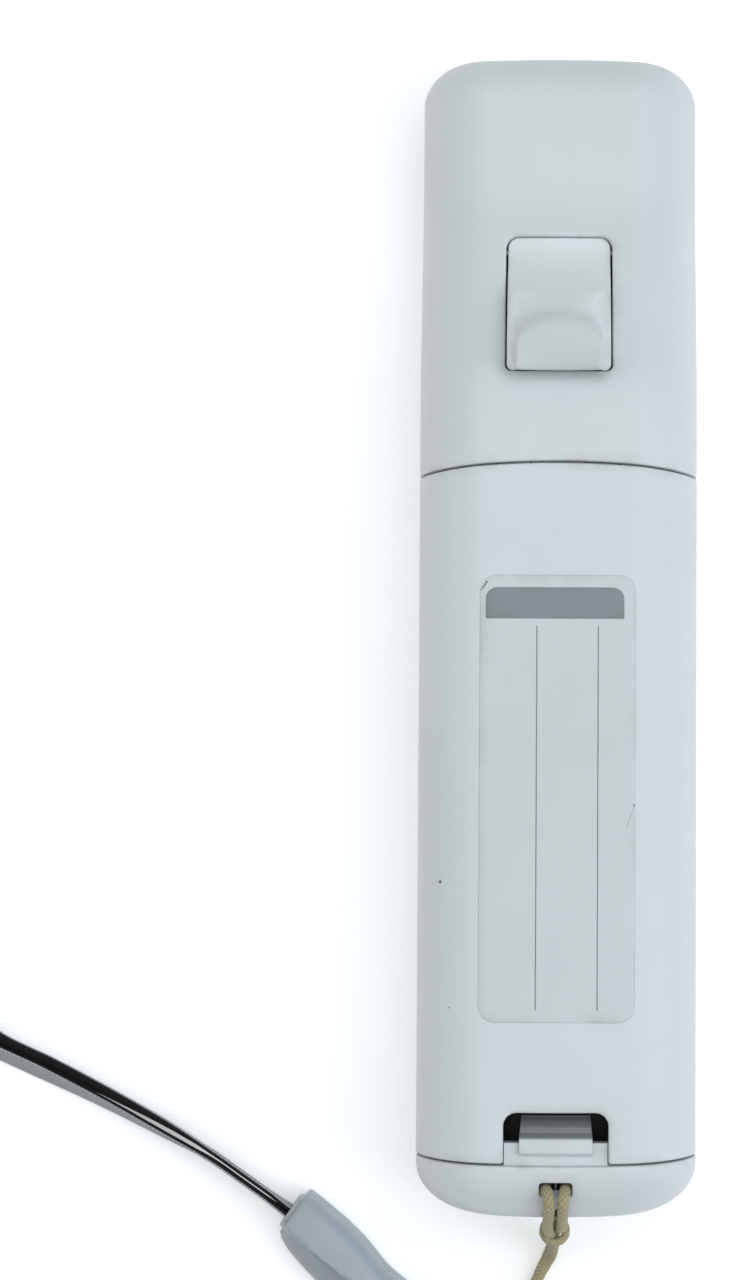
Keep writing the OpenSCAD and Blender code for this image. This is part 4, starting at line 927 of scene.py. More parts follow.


# Wrist loop: a flat woven grey ribbon that stands on its edge. Its inner face is painted near black: painted
# shade between the strands. It starts in the ferrule, runs through the slide lock, lies on the floor in one
# loop and comes back the same way.
LOCK_X, LOCK_Y = -34.1, -75.3
LOCK_TURN = math.radians(-35)
RIBBON_WIDTH = 4.4
RIBBON_THICK = 0.65
RIBBON_LEAN, LEAN_FROM, LEAN_LONG = math.radians(27), -13, 25
NEAR_LEAN, NEAR_FROM, NEAR_LONG = math.radians(8), 2, 6
STRAIGHT_RUN = 70
WEFT_PITCH, WARP_PITCH = 0.62, 0.44
FERRULE_FROM, FERRULE_TO = 21.6, 29.1
PLY_HALF, IN_LOCK_Z, FLAT_Z = 0.45, 3.8, 2.25
IN_LOCK = (FERRULE_FROM, 16, 10, 4, -2, -8)
RIBBON_OUT = ((-13, 0.42, IN_LOCK_Z), (-20, -0.1, 3.2), (-28, -1.2, 2.6), (-36, -2.5, 2.3))
RIBBON_LOOP = ((-44, -3.9), (-50, -3.6), (-56, 0.6), (-61, 5.8), (-66, 11), (-72.5, 14.6), (-80, 15.2),
               (-87, 12.4), (-92, 7), (-94.4, 0), (-94.4, -7.5), (-92, -14.5), (-87, -20), (-80, -22.8),
               (-72.5, -22.2), (-66, -18.8), (-61, -13.8), (-56, -9.2), (-50, -6.7), (-44, -5.5))
RIBBON_BACK = ((-36, -3.98, 2.3), (-28, -2.64, 2.6), (-20, -1.5, 3.2), (-13, -0.53, IN_LOCK_Z))


def on_strap(points):
    """Turns points from the lock's own line into the wand's frame."""
    points = np.asarray(points, float)
    cosine, sine = math.cos(LOCK_TURN), math.sin(LOCK_TURN)
    x = LOCK_X + points[:, 0] * cosine - points[:, 1] * sine
    y = LOCK_Y + points[:, 0] * sine + points[:, 1] * cosine
    return np.stack([x, y, points[:, 2]], -1)


def woven_material():
    material, tree, shader, where = blank_finish("grey woven ribbon")
    weft = calc(tree, "SINE", calc(tree, "MULTIPLY", layer(tree, "along"), 2 * math.pi / WEFT_PITCH))
    warp = calc(tree, "SINE", calc(tree, "MULTIPLY", layer(tree, "across"), 2 * math.pi / WARP_PITCH))
    weave = calc(tree, "MULTIPLY_ADD", calc(tree, "MULTIPLY", weft, warp), 0.5, 0.5)
    fuzz = noise(tree, where, 3600.0, 3.0)
    dirt_and_shade = noise(tree, where, 90.0, 4.0)
    outer = tint(tree, weave, (0.25, 0.27, 0.29, 1), (0.43, 0.46, 0.48, 1))
    outer = tint(tree, between(tree, dirt_and_shade, 0.5, 0.8, 0.0, 0.4), outer, (0.13, 0.13, 0.13, 1))
    # Painted shade: the inner face is painted near black, for the shade between the two strands.
    inner = tint(tree, weave, (0.005, 0.005, 0.006, 1), (0.014, 0.014, 0.016, 1))
    colour = tint(tree, between(tree, layer(tree, "shaded_face"), 0.35, 0.65), outer, inner)
    lay_finish(tree, shader, colour, between(tree, fuzz, 0.3, 0.7, 0.72, 0.95),
               calc(tree, "MULTIPLY_ADD", fuzz, 0.4, weave), 0.6, 0.0002, Sheen_Weight=0.02,
               Specular_IOR_Level=0.25)
    return material


def ribbon_mesh():
    going = [(x, PLY_HALF, IN_LOCK_Z) for x in IN_LOCK]
    coming = [(x, -PLY_HALF, IN_LOCK_Z) for x in IN_LOCK[::-1]]
    lying = [(*place, FLAT_Z) for place in RIBBON_LOOP]
    route, run = smooth_route([*going, *RIBBON_OUT, *lying, *RIBBON_BACK, *coming], 0.4)
    half, high = RIBBON_THICK / 2, RIBBON_WIDTH / 2
    flat = loop([(-half, -high, 0.3), (half, -high, 0.3), (half, high, 0.3), (-half, high, 0.3)], 0.45, 30)
    heading = np.gradient(route, axis=0)
    heading[:, 2] = 0
    heading = unit(heading)
    away = np.stack([heading[:, 1], -heading[:, 0], np.zeros(len(route))], -1)
    leaning = NEAR_LEAN * np.clip((NEAR_FROM - route[:, 0]) / NEAR_LONG, 0, 1)
    leaning += (RIBBON_LEAN - NEAR_LEAN) * np.clip((LEAN_FROM - route[:, 0]) / LEAN_LONG, 0, 1)
    leaning *= np.cos(math.pi * np.clip((run - STRAIGHT_RUN) / (run[-1] - 2 * STRAIGHT_RUN), 0, 1))
    rings, across, along, shaded_face = [], [], [], []
    for place, side, tilt, distance in zip(route, away, leaning, run):
        width = np.array([0, 0, math.cos(tilt)]) + side * math.sin(tilt)
        thick = side * math.cos(tilt) - np.array([0, 0, math.sin(tilt)])
        rings.append(place + np.outer(flat[:, 0], thick) + np.outer(flat[:, 1], width))
        across.append(flat[:, 1])
        along.append(np.full(len(flat), distance))
        # Marks the inner face, which is painted near black as shade.
        shaded_face.append(np.where(flat[:, 0] < 0.1, 1.0, 0.0))
    points, faces = lofted(rings)
    layers = {"across": np.concatenate(across), "along": np.concatenate(along), "shaded_face": np.concatenate(shaded_face)}
    return (on_strap(points), faces), layers, on_strap(route)


ribbon_shape, ribbon_layers, ribbon_route = ribbon_mesh()
strap_ribbon = finished("strap_ribbon_loop", ribbon_shape, woven_material(), "case", sharp=60,
                        replaced=["strap_ribbon"], layers=ribbon_layers)


# Slide lock of the wrist loop: a grey moulded body with one broad slanted facet, a sprung button in its
# mouth and the ribbon running through both. The ferrule behind it is crimped over the ribbon's ends.
LOCK_LONG = 21.0
SLOT_HALF, SLOT_LOW, SLOT_HIGH = 1.14, 1.4, 6.2
LOCK_WALL = 0.45
FACET_SHADE, FACET_LEFT_OF = 0.25, -1.9
MOUTH_SLOT_HALF, MOUTH_LOW, MOUTH_HIGH, MOUTH_LONG = 2.58, 0.82, 6.78, 8.2
LOCK_STATIONS = ((0, 3.75, -3.4, -1.35, 7.9), (2.5, 3.65, -4.5, -1.6, 8.2), (6.5, 3.3, -5.4, -2.05, 8.4),
                 (9.5, 2.8, -5.8, -2.3, 8.4), (12, 2.15, -5.7, -2.4, 8.3), (14, 1.6, -5.3, -2.4, 8.15),
                 (17, 1.35, -4.6, -2.2, 7.9), (LOCK_LONG, 1.4, -3.6, -1.6, 7.3))
NEAR_EDGE = ((0.0, 0.3), (0.09, 0.12), (0.3, 0.0))
FAR_ROUND_LONG, FAR_ROUND_DEEP = 1.2, 0.9
BUTTON_FROM, BUTTON_TO = -0.6, 5.9
BUTTON_HALF, BUTTON_LOW, BUTTON_HIGH = 2.45, 0.95, 6.65
FERRULE_HALF, FERRULE_HIGH = 2.2, 6.3
FERRULE_EDGE = ((0.0, 0.45), (0.13, 0.2), (0.45, 0.0))
CRIMPS, CRIMP_FROM, CRIMP_PITCH, CRIMP_DEEP = 3, 1.4, 2.0, 0.28
CRIMP = ((0.0, 0.0), (0.25, 0.7), (0.55, 1.0), (0.85, 0.7), (1.1, 0.0))


def ringed(corners, per_edge=5, per_arc=5):
    """A closed ring with the same count of points whatever the sizes of its corners."""
    count = len(corners)
    points = []
    for i, (across, up, radius) in enumerate(corners):
        here = np.array([across, up])
        before = np.array(corners[i - 1][:2]) - here
        after = np.array(corners[(i + 1) % count][:2]) - here
        start = here + before / np.linalg.norm(before) * radius
        end = here + after / np.linalg.norm(after) * radius
        for t in np.linspace(0, 1, per_arc):
            points.append((1 - t) ** 2 * start + 2 * t * (1 - t) * here + t * t * end)
        following = here + after
        ahead = following - after / np.linalg.norm(after) * corners[(i + 1) % count][2]
        points += [end + (ahead - end) * k / per_edge for k in range(1, per_edge)]
    return np.array(points)


def set_at(x, ring):
    return np.column_stack([np.full(len(ring), x), ring])


def bore_ring(ring, half, low, high):
    """The opening's edge seen from the middle of the slot through each point of an outer ring."""
    middle = np.array([0.0, (low + high) / 2])
    ray = ring - middle
    reach = (np.array([half, (high - low) / 2]) / np.maximum(np.abs(ray), 1e-9)).min(1)
    reach = np.minimum(reach, 1 - LOCK_WALL / np.linalg.norm(ray, axis=1))
    return middle + ray * reach[:, None]


def lock_ring(right, left, crest, top):
    return ringed([(right - 0.7, 0, 0.5), (right, 1.8, 0.7), (right - 0.45, top - 0.45, 1.9),
                   (crest, top, 0.4), (left + 0.55, 0.5 * top, 0.8), (left, 0.31 * top, 0.5),
                   (left + 0.9, 0, 0.5)])


def sleeve(outer, bore):
    rings = [set_at(x, ring) for x, ring in outer] + [set_at(x, ring) for x, ring in bore]
    points, faces = lofted(rings, ring_shut=True)
    count = len(outer[0][1])
    rims = np.full(len(points), 0.25)
    rims[-3 * count:] = 1.0
    rims[:2 * count] = 0.4
    return on_strap(points), faces, rims


def inset(ring, depth):
    return ring - outward(ring) * depth


lock_run = smooth_route(LOCK_STATIONS, 0.75)[0]
lock_rings = [(row[0], lock_ring(*row[1:])) for row in lock_run]
near_ring, far_ring = lock_rings[0][1], lock_rings[-1][1]
lock_outer = [(x, inset(near_ring, cut)) for x, cut in NEAR_EDGE]
lock_outer += [(x, ring) for x, ring in lock_rings if 0.6 < x < LOCK_LONG - FAR_ROUND_LONG - 0.1]
lock_outer += [(LOCK_LONG - FAR_ROUND_LONG * (1 - math.sin(a)),
                inset(far_ring, FAR_ROUND_DEEP * (1 - math.cos(a)))) for a in np.radians([0, 22, 45, 67, 90])]
slot, mouth = (SLOT_HALF, SLOT_LOW, SLOT_HIGH), (MOUTH_SLOT_HALF, MOUTH_LOW, MOUTH_HIGH)
lock_bore = [(LOCK_LONG, bore_ring(far_ring, *slot)), (MOUTH_LONG, bore_ring(near_ring, *slot)),
             (MOUTH_LONG, bore_ring(near_ring, *mouth)), (0.3, bore_ring(near_ring, *mouth)),
             (0.0, bore_ring(near_ring, MOUTH_SLOT_HALF + 0.08, MOUTH_LOW - 0.08, MOUTH_HIGH + 0.08))]
lock_grey = moulded("lock grey", (0.335, 0.382, 0.425), 0.42, grime=0.4, specks=0.3, grain=0.025)
lock_light = moulded("lock button grey", (0.4, 0.44, 0.46), 0.4, grime=0.8, specks=0.1, grain=0.02)
lock_shape = sleeve(lock_outer, lock_bore)
# Painted shade: the broad slanted facet on the left is painted darker, and the inside of the bore and mouth
# near black.
facet_shade = np.concatenate([FACET_SHADE * (ring[:, 0] < FACET_LEFT_OF) for x, ring in lock_outer])
lock_shade = np.concatenate([facet_shade, np.repeat([0.9] * (len(lock_bore) - 1) + [0.0], len(near_ring))])
lock_body = finished("strap_lock_body", lock_shape, lock_grey, "slide_lock", sharp=38,
                     replaced=["strap_lock"], layers={"dirt_and_shade": lock_shade})


def upright_ring(half, low, high, radius):
    corners = [(half, low, radius), (half, high, radius), (-half, high, radius), (-half, low, radius)]
    return ringed(corners, 8, 5)


button_ring = ringed([(BUTTON_HALF, BUTTON_LOW, 0.6), (BUTTON_HALF, BUTTON_HIGH, 0.7),
                      (-1.15, BUTTON_HIGH, 0.5), (-2.2, 3.95, 0.4), (-BUTTON_HALF, 2.7, 0.4),
                      (-BUTTON_HALF, BUTTON_LOW, 0.5)])
button_outer = [(BUTTON_FROM + x, inset(button_ring, cut)) for x, cut in NEAR_EDGE]
button_outer += [(BUTTON_TO, button_ring)]
button_bore = [(x, bore_ring(button_ring, *slot)) for x in (BUTTON_TO, BUTTON_FROM + 0.2, BUTTON_FROM)]
lock_key_cap = finished("lock_button_cap", sleeve(button_outer, button_bore), lock_light, "lock_key",
                        replaced=["lock_button"])
ferrule_ring = upright_ring(FERRULE_HALF, 0.0, FERRULE_HIGH, 1.0)
ferrule_cut = [(FERRULE_FROM + x, cut) for x, cut in FERRULE_EDGE]
ferrule_cut += [(FERRULE_FROM + CRIMP_FROM + CRIMP_PITCH * k + x, CRIMP_DEEP * deep)
                for k in range(CRIMPS) for x, deep in CRIMP]
ferrule_cut += [(FERRULE_TO - x, cut) for x, cut in FERRULE_EDGE[::-1]]
ferrule_points, ferrule_faces = lofted([set_at(x, inset(ferrule_ring, cut)) for x, cut in ferrule_cut])
ferrule_rims = np.repeat([0.25 + 2.4 * cut for x, cut in ferrule_cut], len(ferrule_ring))
strap_ferrule = finished("strap_ferrule_crimp", (on_strap(ferrule_points), ferrule_faces, ferrule_rims),
                         lock_grey, "case", replaced=["strap_ferrule"])
[tuple(p) for p in ribbon_route[::10] * MM]


# Pointing window: a glossy, almost black acrylic lens, moulded in one with the flange behind it.
# It is set back in the nose and held there from inside, where the halves close on the flange.
WINDOW_HALF, WINDOW_LOW, WINDOW_HIGH = 7.8, 6.4, 13.0
FLANGE = 1.4
WINDOW_BACK, FLANGE_FRONT, WINDOW_FACE = 70.9, 72.1, 73.0
FLANGE_SOFT, LENS_SOFT, LENS_BOW = 0.12, 0.35, 0.06


def facing(y, ring):
    return np.column_stack([ring[:, 0], np.full(len(ring), y), ring[:, 1]])


def drawn_in(ring, share):
    middle = ring.mean(0)
    return middle + (ring - middle) * share


def acrylic_material():
    material, tree, shader, where = blank_finish("dark acrylic")
    dust = between(tree, noise(tree, where, 1400.0, 5.0, 0.7), 0.6, 0.72)
    haze = noise(tree, where, 60.0, 3.0)
    colour = tint(tree, calc(tree, "MULTIPLY", dust, 0.25), (0.011, 0.006, 0.008, 1), (0.2, 0.19, 0.18, 1))
    lay_finish(tree, shader, colour, between(tree, haze, 0.3, 0.7, 0.05, 0.13), Coat_Weight=0.6,
               Coat_Roughness=0.04)
    return material


lens_ring = upright_ring(WINDOW_HALF, WINDOW_LOW, WINDOW_HIGH, 1.0)
flange_ring = upright_ring(WINDOW_HALF + FLANGE, WINDOW_LOW - FLANGE, WINDOW_HIGH + FLANGE, 1.2)
flange_edge = inset(flange_ring, FLANGE_SOFT)
lens_rings = [facing(WINDOW_BACK, flange_edge), facing(WINDOW_BACK + FLANGE_SOFT, flange_ring),
              facing(FLANGE_FRONT - FLANGE_SOFT, flange_ring), facing(FLANGE_FRONT, flange_edge),
              facing(FLANGE_FRONT, inset(lens_ring, -0.05)), facing(FLANGE_FRONT + 0.1, lens_ring)]
lens_rings += [facing(WINDOW_FACE - LENS_SOFT * (1 - math.sin(a)) - LENS_BOW,
                      inset(lens_ring, LENS_SOFT * (1 - math.cos(a)))) for a in np.radians([0, 30, 60, 90])]
lens_rings += [facing(WINDOW_FACE - LENS_BOW * share ** 2, drawn_in(inset(lens_ring, LENS_SOFT), share))
               for share in (0.8, 0.55, 0.3, 0.08)]
lens_points, lens_faces = lofted(lens_rings)
lens_points[:, 1] = blunted(lens_points[:, 1])
finished("pointing_window_lens", (lens_points, lens_faces), acrylic_material(), "case",
         replaced=["ir_window"])


# Expansion socket: a white moulded box with an open mouth, from the same plastic as the case.
# It is soldered on the board and looks out of the tail, between the two halves.
SOCKET_HALF, SOCKET_LOW, SOCKET_HIGH = 7.8, 6.6, 13.2
SOCKET_WALL = 1.0
SHADE_LONG = 5.0
SOCKET_MOUTH, SOCKET_FLOOR, SOCKET_BACK = -73.2, -62.2, -60.2
socket_ring = upright_ring(SOCKET_HALF, SOCKET_LOW, SOCKET_HIGH, 0.7)
cavity_ring = upright_ring(SOCKET_HALF - SOCKET_WALL, SOCKET_LOW + SOCKET_WALL, SOCKET_HIGH - SOCKET_WALL,
                           0.5)
socket_rings = [facing(SOCKET_BACK, inset(socket_ring, 0.15)), facing(SOCKET_BACK - 0.15, socket_ring)]
socket_rings += [facing(y, socket_ring) for y in (-64.0, -68.0, SOCKET_MOUTH + 0.25)]
socket_rings += [facing(SOCKET_MOUTH + 0.07, inset(socket_ring, 0.08)),
                 facing(SOCKET_MOUTH, inset(socket_ring, 0.25)),
                 facing(SOCKET_MOUTH, inset(cavity_ring, -0.3)), facing(SOCKET_MOUTH + 0.3, cavity_ring)]
socket_rings += [facing(y, cavity_ring) for y in (-72.0, -70.5, -68.0, -65.0, SOCKET_FLOOR)]
socket_points, socket_faces = lofted(socket_rings)
# Painted shade: the inside is painted darker towards the back.
socket_shade = np.clip((socket_points[:, 1] - SOCKET_MOUTH) / SHADE_LONG, 0, 0.95)
socket_points[:, 1] = blunted(socket_points[:, 1])
finished("expansion_socket_box", (socket_points, socket_faces, np.full(len(socket_points), 0.3)), case_white,
         "case", replaced=["expansion_connector"], layers={"dirt_and_shade": socket_shade})


# Sync button under the cover: a small red moulding, turned in shape, with a dished top.
# It stands in the floor of the battery bay on a long stem that reaches down to its switch.
sync_red = moulded("sync red", (0.42, 0.03, 0.025), 0.32, grime=0.5, specks=0.2, grain=0.01, coat=0.2)
SYNC_Y = -56.7
sync_profile = [(0.0, 9.85), (0.85, 9.85), (1.0, 10.0), (1.0, 22.3), (2.05, 22.3), (2.2, 22.45), (2.2, 23.4),
                (2.05, 23.55), (1.5, 23.55), (1.5, 24.75), (1.44, 24.95), (1.28, 25.07), (1.05, 25.1),
                (0.7, 25.03), (0.35, 24.98), (0.0, 24.97)]
finished("sync_button_cap", lathe(sync_profile, (0, SYNC_Y, 0), rim=0.3), sync_red, "sync_key",
         replaced=["sync_button"])


# Two cells, head to tail: steel cans with a raised end and a flat end, in a plain two-tone wrap that is
# shrunk over the can and leaves both ends bare. They are pressed between the springs and the contacts.
CELL_X, CELL_Z = 7.4, 17.35
CELL_LONG, CELL_PARTS = 50.5, 72
PALE_FROM = 0.72
CELL_PROFILE = ((0.0, 0.0, 1), (5.3, 0.0, 1), (5.5, 0.15, 1), (6.3, 0.15, 1), (6.6, 0.05, 0), (6.95, 0.15, 0),
                (7.18, 0.5, 0), (7.23, 1.0, 0), (7.23, 12.0, 0), (7.23, 24.0, 0), (7.23, 36.0, 0),
                (7.23, 48.3, 0), (7.18, 48.7, 0), (6.95, 49.0, 0), (6.5, 49.1, 0), (6.3, 48.9, 1),
                (3.2, 48.9, 1), (2.9, 49.1, 1), (2.75, 49.5, 1), (2.75, 50.2, 1), (2.6, 50.42, 1),
                (2.3, CELL_LONG, 1), (0.0, CELL_LONG, 1))


def cell_material():
    material, tree, shader, where = blank_finish("cell wrap")
    scuff = noise(tree, where, 420.0, 5.0, 0.7)
    pale = calc(tree, "GREATER_THAN", layer(tree, "run"), PALE_FROM)
    wrap = tint(tree, pale, (0.035, 0.045, 0.06, 1), (0.42, 0.45, 0.47, 1))
    wrap = tint(tree, between(tree, scuff, 0.55, 0.8, 0.0, 0.35), wrap, (0.3, 0.3, 0.3, 1))
    steel = tint(tree, scuff, (0.5, 0.5, 0.5, 1), (0.68, 0.68, 0.67, 1))
    bare = between(tree, layer(tree, "metal"), 0.4, 0.6)
    lay_finish(tree, shader, tint(tree, bare, wrap, steel), between(tree, scuff, 0.3, 0.7, 0.2, 0.36),
               Coat_Weight=0.3)
    tree.links.new(bare, shader.inputs["Metallic"])
    return material


cell_wrap = cell_material()
radii, heights, bares = np.array(CELL_PROFILE).T
for node, side, start, way in (("cell_left", -1, -45.7, 1), ("cell_right", 1, -1.9, -1)):
    profile = np.column_stack([radii, way * heights])
    shape = lathe(profile, (side * CELL_X, start, CELL_Z), "y", CELL_PARTS)
    printed = {"metal": np.repeat(bares, CELL_PARTS), "run": np.repeat(heights / CELL_LONG, CELL_PARTS)}
    finished(node + "_can", shape, cell_wrap, "case", replaced=[node], layers=printed)


# Contact springs: cone-shaped coils of bright steel wire, one behind the flat end of each cell.
# They are widest at the contact plate that they are riveted to, and bear on the cell with their tip.
SPRING_WIRE = 0.7
SPRING_RISE = 5.6
SPRING_BASE, SPRING_TIP = 4.4, 2.8
SPRING_TURNS = 4
FLAT_TURN = 0.04


def metal_material(name, dark, light, roughness, scale, streak=(1.0, 1.0, 1.0)):
    material, tree, shader, where = blank_finish(name)
    stretched = put(tree, "Mapping", None, Vector=where, Scale=streak).outputs[0]
    brushed = noise(tree, stretched, scale, 4.0, 0.6)
    stain = noise(tree, where, 130.0, 4.0)
    colour = tint(tree, brushed, (*dark, 1), (*light, 1))
    stained = (*[0.6 * part for part in dark], 1)
    colour = tint(tree, between(tree, stain, 0.55, 0.8, 0.0, 0.5), colour, stained)
    rough = between(tree, brushed, 0.3, 0.7, roughness - 0.06, roughness + 0.08)
    lay_finish(tree, shader, colour, rough, brushed, 0.12, Metallic=1.0)
    return material


spring_steel = metal_material("spring steel", (0.5, 0.5, 0.51), (0.72, 0.72, 0.73), 0.2, 2600.0)
plated_steel = metal_material("plated steel", (0.44, 0.44, 0.45), (0.66, 0.66, 0.67), 0.28, 900.0, (1, 8, 8))
dark_steel = metal_material("dark pin steel", (0.05, 0.05, 0.055), (0.1, 0.1, 0.105), 0.4, 1500.0)
for node, side, plate, way in (("spring_left", -1, -52.6, 1), ("spring_right", 1, 5.0, -1)):
    share = np.linspace(0, 1, SPRING_TURNS * 32 + 1)
    angle = 2 * math.pi * SPRING_TURNS * share
    radius = SPRING_BASE + (SPRING_TIP - SPRING_BASE) * share
    rise = 0.5 * SPRING_WIRE + 0.1 + SPRING_RISE * np.clip((share - FLAT_TURN) / (1 - 2 * FLAT_TURN), 0, 1)
    coil = np.stack([side * CELL_X + radius * np.cos(angle), plate + way * rise,
                     CELL_Z - way * radius * np.sin(angle)], -1)
    finished(node + "_coil", tube(coil, np.full((len(coil), 12), SPRING_WIRE / 2)), spring_steel, "case",
             sharp=70, replaced=[node])


# Screws: four cross-slotted ones that pull the halves together and four small ones that hold the board.
# All are plated steel. One tree of nodes builds a screw from its sizes and sets it on every screw place.
HEAD_STRAIGHT, HEAD_TOP = 0.6, 0.72
CUT_LONG, CUT_WIDE, CUT_DEEP = 1.1, 0.26, 1.1
THREAD_LONG, THREAD_FROM, THREAD_RIDGE = 0.85, 0.97, 0.28


def screw_tree():
    tree = bpy.data.node_groups.new("cross screw on each place", "GeometryNodeTree")
    face = tree.interface
    face.new_socket("Places", in_out="INPUT", socket_type="NodeSocketGeometry")
    for label in ("Head Radius", "Head Height", "Shank Radius", "Shank Length", "Thread Pitch"):
        face.new_socket(label, in_out="INPUT", socket_type="NodeSocketFloat")
    face.new_socket("Finish", in_out="INPUT", socket_type="NodeSocketMaterial")
    face.new_socket("Screws", in_out="OUTPUT", socket_type="NodeSocketGeometry")
    given = tree.nodes.new("NodeGroupInput").outputs
    result = tree.nodes.new("NodeGroupOutput").inputs

    def step(kind, **values):
        return filled(tree, tree.nodes.new("GeometryNode" + kind), values)

    def times(value, factor):
        return calc(tree, "MULTIPLY", value, factor)

    def moved(mesh, z):
        place = put(tree, "CombineXYZ", None, Z=z).outputs[0]
        return step("Transform", Geometry=mesh, Translation=place).outputs[0]

    def merged(operation, *parts, base=None):
        node = step("MeshBoolean", **({} if base is None else {"Mesh_1": base}))
        node.operation = operation
        for part in parts:
            tree.links.new(part, node.inputs["Mesh 2"])
        return node.outputs["Mesh"]

    radius, high = given["Head Radius"], given["Head Height"]
    shank, length = given["Shank Radius"], given["Shank Length"]
    lower = step("MeshCone", Vertices=40, Radius_Top=radius, Radius_Bottom=radius,
                 Depth=times(high, HEAD_STRAIGHT))
    upper = step("MeshCone", Vertices=40, Radius_Top=times(radius, HEAD_TOP), Radius_Bottom=radius,
                 Depth=times(high, 1 - HEAD_STRAIGHT))
    rod = step("MeshCylinder", Vertices=24, Radius=shank, Depth=length)
    cut = put(tree, "CombineXYZ", None, X=times(radius, CUT_LONG), Y=times(radius, CUT_WIDE),
              Z=times(high, CUT_DEEP))
    bar = moved(step("MeshCube", Size=cut.outputs[0]).outputs["Mesh"], high)
    crossing = step("Transform", Geometry=bar, Rotation=(0.0, 0.0, QUARTER)).outputs[0]
    head = merged("UNION", lower.outputs["Mesh"], moved(upper.outputs["Mesh"], times(high, HEAD_STRAIGHT)))
    head = merged("DIFFERENCE", bar, crossing, base=head)
    helix = step("CurveSpiral", Resolution=20, Rotations=calc(tree, "DIVIDE", length, given["Thread Pitch"]),
                 Start_Radius=shank, End_Radius=shank, Height=times(length, THREAD_LONG))
    ridge = step("CurvePrimitiveCircle", Resolution=5, Radius=times(given["Thread Pitch"], THREAD_RIDGE))
    thread = step("CurveToMesh", Curve=helix.outputs[0], Profile_Curve=ridge.outputs[0], Fill_Caps=True)
    whole = step("JoinGeometry")
    for part in (moved(thread.outputs[0], times(length, -THREAD_FROM)),
                 moved(rod.outputs["Mesh"], times(length, -0.5)), head):
        tree.links.new(part, whole.inputs[0])
    placed = step("InstanceOnPoints", Points=given["Places"], Instance=whole.outputs[0])
    real = step("RealizeInstances", Geometry=placed.outputs[0])
    painted = step("SetMaterial", Geometry=real.outputs[0], Material=given["Finish"])
    tree.links.new(painted.outputs[0], result["Screws"])
    return tree


SCREWS = screw_tree()
SCREW_SETS = {"shell_screws": (11.4, (13.49, -59.49), 12.5, 2.0, 1.2, 0.86, 7.8, 0.7),
              "board_screws": (10.8, (40.0, -33.0), 6.6, 1.3, 0.8, 0.6, 2.6, 0.5)}
for node, (x, rows, seat, radius, high, shank, length, pitch) in SCREW_SETS.items():
    mesh = bpy.data.meshes.new(node + "_set")
    mesh.from_pydata([(side * x * MM, y * MM, seat * MM) for side in (-1, 1) for y in rows], [], [])
    screws = bpy.data.objects.new(node + "_set", mesh)
    scene.collection.objects.link(screws)
    maker = screws.modifiers.new("screws", "NODES")
    maker.node_group = SCREWS
    sizes_of = {"Head Radius": radius, "Head Height": high, "Shank Radius": shank, "Shank Length": length,
                "Thread Pitch": pitch}
    for socket in SCREWS.interface.items_tree:
        if socket.name in sizes_of:
            maker[socket.identifier] = sizes_of[socket.name] * MM
        if socket.name == "Finish":
            maker[socket.identifier] = plated_steel
    made = bpy.data.meshes.new_from_object(screws.evaluated_get(bpy.context.evaluated_depsgraph_get()))
    screws.modifiers.clear()
    screws.data = made
    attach(screws, "case")
    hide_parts(node)


# Parts inside the case that keep their CAD shape: the board with its chips and can, rubber keypads, the
# camera, speaker, motor, contact plates, switches and light guide. Each gets the finish of the real one.
def board_material():
    material, tree, shader, where = blank_finish("green board")
    lanes = put(tree, "TexBrick", None, Vector=where, Scale=260.0, Mortar_Size=0.05)
    glass = noise(tree, where, 2400.0, 2.0)
    colour = tint(tree, lanes.outputs["Fac"], (0.015, 0.11, 0.035, 1), (0.04, 0.19, 0.07, 1))
    colour = tint(tree, between(tree, glass, 0.4, 0.8, 0.0, 0.3), colour, (0.05, 0.2, 0.09, 1))
    lay_finish(tree, shader, colour, between(tree, glass, 0.3, 0.7, 0.25, 0.4), lanes.outputs["Fac"], 0.2)
    return material


def clear_material():
    material, tree, shader, where = blank_finish("clear light guide")
    cloud = noise(tree, where, 500.0, 3.0)
    colour = tint(tree, cloud, (0.55, 0.62, 0.68, 1), (0.7, 0.76, 0.8, 1))
    lay_finish(tree, shader, colour, between(tree, cloud, 0.3, 0.7, 0.1, 0.25), Transmission_Weight=0.4)
    return material


dark_plastic = moulded("dark plastic", (0.02, 0.022, 0.024), 0.5, grime=0.2, specks=0.4, grain=0.05)
grey_plastic = moulded("pivot grey", (0.1, 0.115, 0.13), 0.5, grime=0.3, specks=0.2, grain=0.04)
keypad_rubber = moulded("keypad rubber", (0.21, 0.24, 0.26), 0.8, grime=0.2, specks=0.5, grain=0.08,
                        grain_scale=1500.0)
chip_black = moulded("chip black", (0.008, 0.009, 0.01), 0.42, grime=0.1, specks=0.3, grain=0.1,
                     grain_scale=5000.0)
INNER_FINISH = ((plated_steel, "trigger_axle radio_can rumble_motor bridge_contact terminal_contacts"),
                (dark_steel, "rumble_weight strap_pin"),
                (dark_plastic, "trigger_switch sync_switch ir_camera speaker"),
                (grey_plastic, "dpad_pivot"),
                (keypad_rubber, "upper_keypad middle_keypad lower_keypad"),
                (board_material(), "main_board"),
                (chip_black, "board_chips"),
                (clear_material(), "light_guide indicator_leds"))
for finish, inner in INNER_FINISH:
    for node in inner.split():
        nodes[node].material_slots[0].material = finish


# Studio that the wand lies in: a pale matt floor, a large soft light above and a weaker one at each side.
# The camera looks almost straight down on the wand's back, at the photograph's viewing angle.
FLOOR_HALF = 1.2
PHOTO_WIDE, PHOTO_HIGH = 730, 1280
FOCAL_PIXELS = 2971.3
MIDDLE_ACROSS = 558
SENSOR = 36.0
AIM = (0.00003, -0.0011027, 0.013)
PITCH, ROLL = math.radians(2.7272), math.radians(0.2348)
CAMERA_AWAY = 0.38


